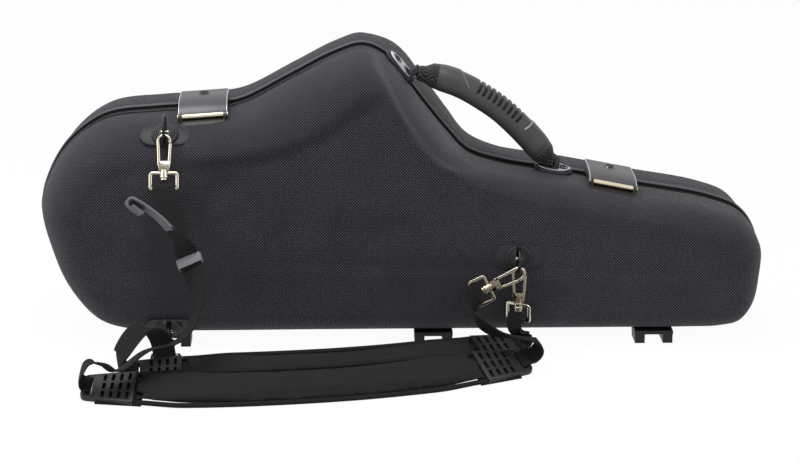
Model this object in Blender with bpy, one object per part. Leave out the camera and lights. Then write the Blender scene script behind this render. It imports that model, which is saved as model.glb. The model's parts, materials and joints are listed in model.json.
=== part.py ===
# Alto saxophone case: a moulded two-shell case that stands on its hinges, with two latches,
# a ribbed carrying handle and a pair of padded shoulder straps clipped to rings on its front.
# Metres. X runs along the case, +Y away from the strap side, +Z up, and the floor is at Z = 0.

import math

import bmesh
import bpy
from mathutils import Matrix, Vector

for old in list(bpy.data.objects):
    bpy.data.objects.remove(old, do_unlink=True)

mm = 0.001

# Whole case
case_length = 660 * mm
body_height = 257 * mm
underside_height = 12 * mm
front_depth = 76 * mm
back_depth = 83 * mm
middle_offset = 72 * mm
wall = 4 * mm
draft = 1.5 * mm
gap = 0.3 * mm
overrun = 2 * mm

# Edge of the front shell, scaled by the outline's shares, and edge of the back shell
edge_run = 40 * mm
wall_run = 50 * mm
back_edge_run = 27 * mm
back_wall_run = 42 * mm

# Moulded relief of the faces
face_grid = 30 * mm
crown_rise = 3 * mm
crown_run = 60 * mm
bell_rise = 4 * mm
bell_radius = 95 * mm
crease_drop = 3 * mm
crease_run = 16 * mm
panel_drop = 2 * mm

# Rims
valance_depth = 4.4 * mm
valance_recess = 1.6 * mm
rim_width = 7 * mm
tongue_width = 1.6 * mm
tongue_reach = 2.6 * mm
bead_depth = 6 * mm
bead_proud = 1.6 * mm

# Lining
lining_clearance = 1.2 * mm
front_recess_depth = 60 * mm
back_recess_depth = 62 * mm
recess_draft = 12 * mm
body_bow_radius = 76 * mm
body_neck_radius = 34 * mm
bell_bow_radius = 58 * mm
bell_mouth_radius = 54 * mm

# Hinges and feet
axis_height = 6 * mm
barrel_radius = 4 * mm
barrel_length = 10 * mm
hinge_pin_radius = 1.6 * mm
hinge_width = 35 * mm
leaf_reach = 62 * mm
leaf_thickness = 3.4 * mm
foot_width = 9.5 * mm
foot_length = 30 * mm

# Latches
latch_width = 44 * mm
latch_sink = 0.8 * mm
latch_skim = 0.2 * mm
latch_arm = 1.6 * mm
latch_reach = 46 * mm
latch_tail = 17 * mm
latch_tail_bend = 10 * mm
latch_rise = 11 * mm
cover_front_rise = 3 * mm
cover_thickness = 1.8 * mm
base_thickness = 2.2 * mm
base_lip = 5 * mm
bar_radius = 2.2 * mm
bar_lift = 5.8 * mm
ear_radius = 3.5 * mm
ear_arc = (-20, 200)
cheek_arc = (130, 330)
arc_sides = 8
lock_radius = 5 * mm
lock_setback = 3 * mm
lock_flange = 0.8 * mm
cam_drop = 3.4 * mm
cam_length = 10 * mm
cam_width = 4 * mm
cam_thickness = 1.2 * mm
keeper_place = 8 * mm
keeper_thickness = 1.6 * mm
keeper_width = 16 * mm
keeper_rise = 7.6 * mm

# Handle
handle_setback = 16 * mm
upper_pivot_height = 10 * mm
lower_pivot_height = 8 * mm
bracket_sink = 1.2 * mm
bracket_lengths = (39 * mm, 34 * mm)
bracket_width = 20 * mm
bracket_pad_thickness = 2.6 * mm
bracket_plate_thickness = 2 * mm
bracket_margin = 3.4 * mm
eye_thickness = 5 * mm
eye_wall = 2.4 * mm
handle_pin_radius = 3 * mm
handle_pin_length = 6.4 * mm
grip_width = 30 * mm
grip_thickness = 20 * mm
grip_rib_rise = 1.6 * mm
grip_ribs = 9
webbing_stub_width = 24 * mm
webbing_stub_thickness = 12 * mm

# Strap anchors and rings
anchor_length = 45 * mm
anchor_width = 22 * mm
anchor_thickness = 2.4 * mm
anchor_sink = 1 * mm
anchor_floor = 0.9 * mm
boss_radius = 12 * mm
boss_height = 8.2 * mm
anchor_bar_height = 6.2 * mm
anchor_bar_radius = 1.6 * mm
anchor_slot = 4.6 * mm
ring_radius = 11 * mm
ring_wire = 1.3 * mm
ring_hang = ring_radius - ring_wire - anchor_bar_radius - gap

# Snap hooks and strap loops
hook_seat = 1.2 * mm
hook_inner = 3.6 * mm
hook_wire = 3.4 * mm
hook_leg = 18 * mm
hub_height = 9 * mm
hub_neck = 5 * mm
gate_thickness = 1.6 * mm
gate_width = 2.6 * mm
rivet_radius = 1 * mm
swivel_radius = 2 * mm
swivel_head = 3.2 * mm
swivel_length = 8.4 * mm
head_thickness = 1.6 * mm
loop_width = 29 * mm
loop_height = 17 * mm
loop_wire = 3 * mm
loop_collar = 4 * mm

# Webbing
wrap_corner = 0.8
webbing_width = 20 * mm
webbing_thickness = 2 * mm
keeper_length = 26 * mm
keeper_height = 12 * mm
keeper_wall = 2 * mm

# Shoulder pads and their fittings
pad_width = 50 * mm
pad_thickness = 11 * mm
pad_rest = 0.5 * mm
pad_lean = math.radians(20)
fitting_length = 46 * mm
fitting_width = 43 * mm
fitting_end_width = 31 * mm
fitting_thickness = 5 * mm
fitting_bar = 5 * mm
fitting_window = 7 * mm
fitting_slot = 2.4 * mm
fitting_slot_length = 8 * mm
fitting_pitch = 7 * mm
fitting_row = 11.5 * mm

# Outline at the seam, clockwise from the flat underside at the bell end, as the front shows it:
# x as a share of the length, z as a share of the body height, how far the front face is drawn
# in as a share of edge_run, and how deep the side wall runs straight as a share of wall_run.
outline_shares = (
    (-0.372, 0.006, 0.55, 1.00),
    (-0.421, 0.039, 0.75, 0.90),
    (-0.464, 0.148, 0.90, 0.60),
    (-0.489, 0.296, 0.95, 0.45),
    (-0.500, 0.436, 0.95, 0.40),
    (-0.488, 0.545, 0.95, 0.40),
    (-0.459, 0.661, 0.95, 0.40),
    (-0.409, 0.751, 1.00, 0.36),
    (-0.336, 0.776, 1.00, 0.36),
    (-0.261, 0.786, 1.00, 0.36),
    (-0.220, 0.804, 1.05, 0.36),
    (-0.152, 0.893, 1.15, 0.36),
    (-0.091, 0.973, 1.00, 0.40),
    (-0.053, 1.000, 0.80, 0.45),
    (-0.018, 0.957, 0.60, 0.60),
    (0.026, 0.809, 0.40, 0.90),
    (0.061, 0.697, 0.35, 1.00),
    (0.091, 0.617, 0.35, 1.00),
    (0.136, 0.576, 0.40, 1.00),
    (0.227, 0.537, 0.50, 0.90),
    (0.326, 0.488, 0.60, 0.80),
    (0.429, 0.438, 0.65, 0.80),
    (0.474, 0.389, 0.65, 0.80),
    (0.498, 0.296, 0.65, 0.80),
    (0.498, 0.187, 0.65, 0.80),
    (0.489, 0.086, 0.60, 0.90),
    (0.469, 0.024, 0.55, 1.00),
    (0.440, 0.004, 0.55, 1.00),
    (0.395, 0.000, 0.55, 1.00),
    (0.300, 0.000, 0.55, 1.00),
    (0.100, 0.000, 0.55, 1.00),
    (-0.120, 0.000, 0.55, 1.00),
    (-0.315, 0.000, 0.55, 1.00),
)
samples_per_span = 3
drawn_spread = 4
strap_steps = 2
edge_turns = (0.25, 0.5, 0.75, 1)
inner_edge_turns = (0.5, 1)

# Upper crease of the face, bell end first, as shares of the length and the body height
crease_shares = (
    (-0.310, 0.632),
    (-0.245, 0.638),
    (-0.204, 0.650),
    (-0.177, 0.673),
    (-0.136, 0.719),
    (-0.096, 0.773),
    (-0.062, 0.835),
)
bell_centre_share = (-0.345, 0.400)
panel_edge_shares = ((-0.042, 0.825), (-0.002, 0.667), (0.038, 0.506))

# Centres of the lining's troughs, as shares of the length and the body height
body_bow_share = (-0.341, 0.374)
body_neck_share = (0.412, 0.220)
bell_bow_share = (-0.288, 0.390)
bell_mouth_share = (-0.070, 0.640)

# Places along the case, as shares of its length
hinge_shares = (-0.320, 0.042, 0.348)
latch_shares = (-0.272, 0.288)
base_bed_shares = (0.35, 0.5, 0.65, 0.8, 0.9, 1)
cheek_start_share = 0.5
handle_end_shares = (0.006, 0.212)
bracket_shares = (-0.002, 0.210)

# Crown of a latch cover between the seam and its bar: forward as a share of the reach, and
# height as a share of the way from its front edge to its flat back
cover_crown_shares = ((0.78, 0.46), (0.62, 0.77), (0.45, 0.93), (0.25, 1.0))

# Handle's middle line: along the line between its pivots, and out from it, as shares of that line
handle_route_shares = (
    (0.055, 0.030),
    (0.135, 0.072),
    (0.257, 0.112),
    (0.381, 0.122),
    (0.541, 0.120),
    (0.686, 0.094),
    (0.807, 0.060),
    (0.900, 0.024),
    (0.950, 0.004),
)
grip_start_share = 0.135
grip_end_share = 0.845
rib_start_share = 0.36
rib_end_share = 0.72

# Anchors: x as a share of the length, and turn of the edge from wall (0) to face (1), or
# height as a share of the body height where the anchor sits on the face
edge_anchor_shares = (("bell_top", -0.325, 0.54), ("bell_bottom", -0.322, 0.60))
face_anchor_share = (0.156, 0.292)
ring_dip = math.radians(32)
ring_rise = math.radians(40)
hook_dip = math.radians(4)
top_hook_lean = math.radians(26)
leaning_hook_turn = math.radians(64)
upright_loop_turn = math.radians(-40)
twin_hook_setbacks = (1.8 * mm, -2.7 * mm)

# Free points of the straps between hook and pad: x, y and height as shares of the length
top_strap_shares = (
    (-0.302, -0.170, 0.187),
    (-0.285, -0.200, 0.152),
    (-0.274, -0.230, 0.118),
    (-0.279, -0.258, 0.086),
    (-0.300, -0.283, 0.066),
    (-0.338, -0.300, 0.060),
)
bottom_strap_shares = ((-0.324, -0.214, 0.045), (-0.333, -0.226, 0.064), (-0.350, -0.238, 0.071))
leaning_strap_shares = (
    (0.088, -0.156, 0.076),
    (0.092, -0.173, 0.065),
    (0.106, -0.192, 0.058),
    (0.127, -0.209, 0.052),
)
upright_strap_shares = ((0.155, -0.142, 0.039),)

# The same near the pad's fitting: out from its bar and up from it, as shares of its length
long_curl_shares = ((-0.48, 0.55), (-0.09, 0.60), (0.19, 0.48), (0.24, 0.28), (0.13, 0.14))
short_curl_shares = ((0.19, 0.46), (0.24, 0.28), (0.13, 0.14))
close_curl_shares = ((0.07, 0.24),)
tail_shares = ((-0.12, 0.038), (0.0, 0.040), (0.16, 0.046), (0.45, 0.18), (0.80, 0.36), (1.0, 0.45))
tail_length = 62 * mm
tail_stray = 38 * mm

# Middle lines of the two pads on the floor: x and y as shares of the length
front_pad_shares = (
    (-0.352, -0.315),
    (-0.273, -0.318),
    (-0.182, -0.312),
    (-0.076, -0.295),
    (0.015, -0.271),
    (0.097, -0.242),
)
rear_pad_shares = (
    (-0.295, -0.252),
    (-0.212, -0.247),
    (-0.091, -0.232),
    (0.015, -0.206),
    (0.100, -0.173),
)


def material(name, color, roughness, metallic=0.0):
    made = bpy.data.materials.new(name)
    made.use_nodes = True
    shader = made.node_tree.nodes["Principled BSDF"]
    shader.inputs["Base Color"].default_value = (*color, 1)
    shader.inputs["Roughness"].default_value = roughness
    shader.inputs["Metallic"].default_value = metallic
    made.diffuse_color = (*color, 1)
    return made


shell_fabric = material("shell_fabric", (0.036, 0.035, 0.040), 0.7)
rim_rubber = material("rim_rubber", (0.010, 0.010, 0.011), 0.5)
bead_plastic = material("bead_plastic", (0.050, 0.050, 0.055), 0.45)
lining_plush = material("lining_plush", (0.030, 0.030, 0.034), 0.95)
hinge_plastic = material("hinge_plastic", (0.020, 0.020, 0.022), 0.5)
latch_metal = material("latch_metal", (0.130, 0.130, 0.138), 0.4, 0.6)
bright_metal = material("bright_metal", (0.780, 0.750, 0.680), 0.2, 1.0)
bracket_metal = material("bracket_metal", (0.350, 0.350, 0.360), 0.35, 0.9)
soft_rubber = material("soft_rubber", (0.028, 0.028, 0.030), 0.6)
grip_rubber = material("grip_rubber", (0.055, 0.055, 0.058), 0.55)
strap_webbing = material("strap_webbing", (0.018, 0.018, 0.019), 0.85)
pad_fabric = material("pad_fabric", (0.030, 0.030, 0.031), 0.8)
fitting_plastic = material("fitting_plastic", (0.045, 0.045, 0.047), 0.5)
buckle_plastic = material("buckle_plastic", (0.230, 0.230, 0.235), 0.5)


def empty(name, parent, place):
    made = bpy.data.objects.new(name, None)
    made.empty_display_size = hinge_width
    made.parent = parent
    made.location = place
    bpy.context.collection.objects.link(made)
    return made


def piece(name, bm, finish, parent, origin=None):
    """One closed solid, modelled about origin in the case's frame or in its parent's own."""
    if origin is not None:
        bmesh.ops.translate(bm, vec=-Vector(origin), verts=bm.verts)
    bmesh.ops.recalc_face_normals(bm, faces=bm.faces)
    mesh = bpy.data.meshes.new(name)
    bm.to_mesh(mesh)
    bm.free()
    mesh.materials.append(finish)
    made = bpy.data.objects.new(name, mesh)
    made.parent = parent
    bpy.context.collection.objects.link(made)
    return made


def loft(bm, rings, capped=True, looped=False):
    """Skin through rings of equally many points. Returns the two end faces, or nothing."""
    rows = [[bm.verts.new(point) for point in ring] for ring in rings]
    pairs = list(zip(rows, rows[1:]))
    if looped:
        pairs.append((rows[-1], rows[0]))
    for low, high in pairs:
        for i in range(len(low)):
            j = (i + 1) % len(low)
            bm.faces.new((low[i], low[j], high[j], high[i]))
    if capped and not looped:
        return bm.faces.new(rows[0]), bm.faces.new(rows[-1])
    return None


def lofted(rings, looped=False):
    bm = bmesh.new()
    loft(bm, rings, looped=looped)
    return bm


def prism(outline, low, high, axis="Y"):
    """A flat outline of (a, b) points pushed from low to high along an axis."""
    order = {"X": lambda a, b, c: (c, a, b), "Y": lambda a, b, c: (a, c, b)}[axis]
    return lofted([[Vector(order(a, b, depth)) for a, b in outline] for depth in (low, high)])


def arc(centre, radius, start, end, steps):
    """Points on an arc, angles in degrees from +x towards the second axis."""
    turns = [math.radians(start + (end - start) * i / steps) for i in range(steps + 1)]
    return [(centre[0] + radius * math.cos(t), centre[1] + radius * math.sin(t)) for t in turns]


def rod(radius, start, end, sides=12):
    """A round bar between two points."""
    start, end = Vector(start), Vector(end)
    along = (end - start).normalized()
    across = along.orthogonal().normalized()
    other = along.cross(across)
    turns = [math.tau * i / sides for i in range(sides)]
    rings = [
        [end_point + across * radius * math.cos(t) + other * radius * math.sin(t) for t in turns]
        for end_point in (start, end)
    ]
    return lofted(rings)


def box(low, high):
    outline = ((low[0], low[2]), (high[0], low[2]), (high[0], high[2]), (low[0], high[2]))
    return prism(outline, low[1], high[1])


def cut(target, cutter_bm, operation="DIFFERENCE"):
    """Cuts a solid from target, or joins it on, in target's own frame, and applies the result."""
    cutter = piece("cutter", cutter_bm, target.data.materials[0], target.parent)
    cutter.hide_render = True
    cutter.display_type = "WIRE"
    cutter.matrix_basis = target.matrix_basis
    change = target.modifiers.new("change", "BOOLEAN")
    change.operation = operation
    change.solver = "EXACT"
    change.object = cutter
    bpy.context.view_layer.update()
    graph = bpy.context.evaluated_depsgraph_get()
    result = bpy.data.meshes.new_from_object(target.evaluated_get(graph))
    target.modifiers.remove(change)
    target.data = result
    bpy.data.objects.remove(cutter, do_unlink=True)
    return target


def spline(controls, steps, closed):
    """Centripetal curve through the controls, with steps points on each span."""
    points = [Vector(c) for c in controls]
    count = len(points)
    if not closed:
        points = [2 * points[0] - points[1], *points, 2 * points[-1] - points[-2]]
    made = []
    spans = range(count) if closed else range(1, count)
    for i in spans:
        p = [points[(i + k) % len(points)] for k in (-1, 0, 1, 2)]
        knots = [0.0]
        for a, b in zip(p, p[1:]):
            knots.append(knots[-1] + math.sqrt((b.xy - a.xy).length if len(a) != 3 else (b - a).length))
        t0, t1, t2, t3 = knots
        m1 = (t2 - t1) * ((p[1] - p[0]) / (t1 - t0) - (p[2] - p[0]) / (t2 - t0) + (p[2] - p[1]) / (t2 - t1))
        m2 = (t2 - t1) * ((p[2] - p[1]) / (t2 - t1) - (p[3] - p[1]) / (t3 - t1) + (p[3] - p[2]) / (t3 - t2))
        for k in range(steps):
            t = k / steps
            made.append(
                p[1] * (2 * t**3 - 3 * t**2 + 1)
                + m1 * (t**3 - 2 * t**2 + t)
                + p[2] * (3 * t**2 - 2 * t**3)
                + m2 * (t**3 - t**2)
            )
    if not closed:
        made.append(points[-2])
    return made


def smoothstep(share):
    t = min(1.0, max(0.0, share))
    return t * t * (3 - 2 * t)


def placed(share):
    """A point of the front view, from shares of the length and of the body height."""
    return Vector((share[0] * case_length, underside_height + share[1] * body_height))


class Edge:
    """One place on the seam's outline: its normal inwards, the way its section is drawn in
    (the normals' average, so that sections don't cross at the peak), and its edge's own size."""

    def __init__(self, point, inward, drawn, inset, shoulder):
        self.point, self.inward, self.drawn = point, inward, drawn
        self.inset, self.shoulder = inset, shoulder

    def on(self, inset, depth):
        """The place that lies inset from the outline and depth from the seam, +Y behind."""
        across = self.point + self.drawn * inset
        return Vector((across.x, depth, across.y))

    def turned(self, side, offset, turn):
        """The place on a shell's edge: turn 0 ends the side wall and turn 1 starts the face."""
        angle = turn * math.pi / 2
        run, straight, full = self.sizes(side, offset)
        inset = offset + draft + run * (1 - math.cos(angle))
        return self.on(inset, side * (straight + (full - straight) * math.sin(angle)))

    def sizes(self, side, offset=0):
        if side < 0:
            return self.inset * edge_run, self.shoulder * wall_run, front_depth - offset
        return back_edge_run, back_wall_run, back_depth - offset

    def facing(self, side, turn):
        """The way a shell's edge faces at a turn."""
        angle = turn * math.pi / 2
        run, straight, full = self.sizes(side)
        out = -self.inward * math.cos(angle) / run
        return Vector((out.x, side * math.sin(angle) / (full - straight), out.y)).normalized()

    def drawn_in(self, side, depth):
        """How far in from the outline the outer wall lies at a depth."""
        places = [(0.0, 0.0)]
        for turn in (0, *edge_turns):
            place = self.turned(side, 0, turn)
            inset = (Vector((place.x, place.z)) - self.point).dot(self.inward)
            places.append((abs(place.y), inset))
        for (d0, i0), (d1, i1) in zip(places, places[1:]):
            if d0 <= depth <= d1:
                return i0 + (i1 - i0) * (depth - d0) / (d1 - d0)
        return places[-1][1]


def seam_edges():
    controls = [(*placed(s[:2]), s[2], s[3]) for s in outline_shares]
    samples = spline(controls, samples_per_span, closed=True)
    count = len(samples)
    normals = []
    for i in range(count):
        along = (samples[(i + 1) % count].xy - samples[i - 1].xy).normalized()
        normals.append(Vector((along.y, -along.x)))
    made = []
    for i, here in enumerate(samples):
        near = [normals[(i + k) % count] for k in range(-drawn_spread, drawn_spread + 1)]
        drawn = sum(near, Vector((0, 0))).normalized()
        made.append(Edge(here.xy, normals[i], drawn, here[2], here[3]))
    return made


edges = seam_edges()


def edge_at(x_share, upper=True):
    """The outline's place at a share of the length, on its upper or its lower side."""
    x = x_share * case_length
    for a, b in zip(edges, edges[1:] + edges[:1]):
        rising = b.point.x > a.point.x
        if rising == upper and min(a.point.x, b.point.x) <= x <= max(a.point.x, b.point.x):
            t = (x - a.point.x) / (b.point.x - a.point.x)
            inward = a.inward.lerp(b.inward, t).normalized()
            drawn = a.drawn.lerp(b.drawn, t).normalized()
            inset = a.inset + (b.inset - a.inset) * t
            shoulder = a.shoulder + (b.shoulder - a.shoulder) * t
            return Edge(a.point.lerp(b.point, t), inward, drawn, inset, shoulder)
    raise ValueError("the outline has no such place")


def distance_to_line(point, line):
    best = math.inf
    for a, b in zip(line, line[1:]):
        along = b - a
        t = min(1.0, max(0.0, (point - a).dot(along) / along.length_squared))
        best = min(best, (point - a - along * t).length)
    return best


crease_line = spline([placed(s) for s in crease_shares], samples_per_span, closed=False)
panel_line = [placed(s) for s in panel_edge_shares]


def relief(point, face_rim):
    """How far the front face stands out of its plane at a point of the front view."""
    rim = distance_to_line(point, face_rim)
    height = crown_rise * smoothstep(rim / crown_run)
    height += bell_rise * smoothstep(1 - (point - placed(bell_centre_share)).length / bell_radius)
    run = (panel_line[-1] - panel_line[0]).normalized()
    beyond = run.cross(point - panel_line[0])
    height -= panel_drop * smoothstep(beyond / crease_run + 0.5)
    return height * smoothstep(rim / crease_run)


def gridded(bm, face, side):
    """Cuts a flat face into a grid and moves the grid's points out by the relief."""
    geometry = [face, *face.edges, *face.verts]
    face_rim = [Vector((v.co.x, v.co.z)) for v in face.verts]
    face_rim.append(face_rim[0])
    low = Vector((min(v.x for v in face_rim), min(v.y for v in face_rim)))
    high = Vector((max(v.x for v in face_rim), max(v.y for v in face_rim)))
    for axis, start, end in ((0, low.x, high.x), (2, low.y, high.y)):
        count = round((end - start) / face_grid)
        for i in range(1, count):
            place, normal = Vector((0, 0, 0)), Vector((0, 0, 0))
            place[axis] = start + (end - start) * i / count
            normal[axis] = 1
            made = bmesh.ops.bisect_plane(bm, geom=geometry, plane_co=place, plane_no=normal)
            geometry = made["geom"]
    faces = {g for g in geometry if isinstance(g, bmesh.types.BMFace)}
    fixed = {v for f in bm.faces if f not in faces for v in f.verts}
    for vert in {v for f in faces for v in f.verts} - fixed:
        vert.co.y += side * relief(Vector((vert.co.x, vert.co.z)), face_rim)


def shell(name, side, parent, origin):
    """A moulded tray: rim, straight wall, rounded edge, and a face with its relief."""
    rim = valance_depth + gap if side < 0 else bead_depth + gap
    inner = [[edge.turned(side, wall, turn) for edge in edges] for turn in reversed(inner_edge_turns)]
    inner.append([edge.turned(side, wall, 0) for edge in edges])
    inner.append([edge.on(wall, side * rim) for edge in edges])
    outer = [[edge.on(0, side * rim) for edge in edges]]
    outer.append([edge.turned(side, 0, 0) for edge in edges])
    outer += [[edge.turned(side, 0, turn) for edge in edges] for turn in edge_turns]
    bm = bmesh.new()
    faces = loft(bm, inner + outer)
    gridded(bm, faces[1], side)
    return piece(name, bm, shell_fabric, parent, origin)


def rim_ring(name, section, side, finish, parent, origin):
    """A trim that runs round the seam: section points are (inset, depth from the seam)."""
    rings = [[edge.on(inset, side * depth) for edge in edges] for inset, depth in section]
    return piece(name, lofted(rings, looped=True), finish, parent, origin)


def trough(ends, radii, side, depth):
    """A cutter for the lining: a tapered round-ended trough that narrows as it deepens."""
    start, end = (placed(share) for share in ends)
    along = end - start
    lean = math.degrees(math.asin((radii[0] - radii[1]) / along.length))
    heading = math.degrees(math.atan2(along.y, along.x))
    rings = []
    for level, shrink in ((-overrun, 0), (depth * 0.7, recess_draft / 2), (depth, recess_draft)):
        first = arc(start, radii[0] - shrink, heading + 90 - lean, heading + 270 + lean, 8)
        second = arc(end, radii[1] - shrink, heading - 90 + lean, heading + 90 - lean, 8)
        rings.append([Vector((x, side * (lining_top(side) + level), z)) for x, z in first + second])
    return lofted(rings)


def lining_top(side):
    return (valance_depth if side < 0 else bead_depth) + gap


def lining(name, side, depth, parent, origin):
    """The padded bed of a shell, with the instrument's body and bell sunk into it."""
    clear = wall + lining_clearance
    rings = [[edge.on(wall + gap, side * lining_top(side)) for edge in edges]]
    rings.append([edge.turned(side, clear, 0) for edge in edges])
    rings += [[edge.turned(side, clear, turn) for edge in edges] for turn in inner_edge_turns]
    made = piece(name, lofted(rings), lining_plush, parent)
    cut(made, trough((body_bow_share, body_neck_share), (body_bow_radius, body_neck_radius), side, depth))
    cut(made, trough((bell_bow_share, bell_mouth_share), (bell_bow_radius, bell_mouth_radius), side, depth))
    made.data.transform(Matrix.Translation(-Vector(origin)))
    return made


def hinge_leaf(name, side, place, parent, origin):
    """A leaf under the shell with two standing feet and its share of the barrel."""
    top = underside_height - gap
    low = top - leaf_thickness
    half = hinge_width / 2
    leaf = piece(name, box((-half, barrel_radius * 0.5, low), (half, leaf_reach, top)), hinge_plastic, parent)
    for x in (-half, half - foot_width):
        outline = (
            (leaf_reach - foot_length, low + gap),
            (leaf_reach - foot_length + foot_width / 2, 0),
            (leaf_reach - gap, 0),
            (leaf_reach - gap, low + gap),
        )
        cut(leaf, prism(outline, x + gap, x + foot_width - gap, axis="X"), "UNION")
    spans = ((-half, -half + barrel_length), (half - barrel_length, half))
    if side > 0:
        spans = ((-half + barrel_length + gap, half - barrel_length - gap),)
    for start, end in spans:
        outline = [
            (barrel_radius * 1.5, top - gap),
            *arc((0, axis_height), barrel_radius, 70, 330, 7),
            (barrel_radius * 1.5, low + gap),
        ]
        cut(leaf, prism(outline, start, end, axis="X"), "UNION")
    if side > 0:
        hole = rod(hinge_pin_radius + gap, (-half, 0, axis_height), (half, 0, axis_height), 10)
        cut(leaf, hole)
        clear = barrel_radius + gap
        for x in (-half - overrun, half - barrel_length - gap):
            end = x + barrel_length + gap + overrun
            cut(leaf, box((x, -clear, axis_height - clear), (end, clear, underside_height)))
    else:
        clear = barrel_radius + gap
        start = -half + barrel_length
        cut(leaf, box((start, -clear, axis_height - clear), (-start, clear, underside_height)))
        pin = rod(hinge_pin_radius, (start - overrun, 0, axis_height), (-start + overrun, 0, axis_height), 10)
        cut(leaf, pin, "UNION")
    over_bead = underside_height - bead_proud - gap
    cut(leaf, box((-half - overrun, -overrun, over_bead), (half + overrun, bead_depth + gap, underside_height)))
    mirror = Matrix.Scale(side, 4, (0, 1, 0))
    leaf.data.transform(Matrix.Translation(Vector((place, 0, 0)) - Vector(origin)) @ mirror)
    if side < 0:
        leaf.data.flip_normals()
    return leaf


def on_outline(name, edge, parent, origin, sink):
    """An empty sunk into the seam's outline, with X along the outline and Z out of it."""
    made = empty(name, parent, edge.on(sink, 0) - Vector(origin))
    made.rotation_euler.y = math.atan2(-edge.inward.x, -edge.inward.y)
    return made


def seat(target, frame, cutter):
    """Cuts a bed in a shell for a fitting, with the cutter given in the fitting's own frame."""
    cutter.transform(frame.matrix_basis)
    cut(target, cutter)


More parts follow.
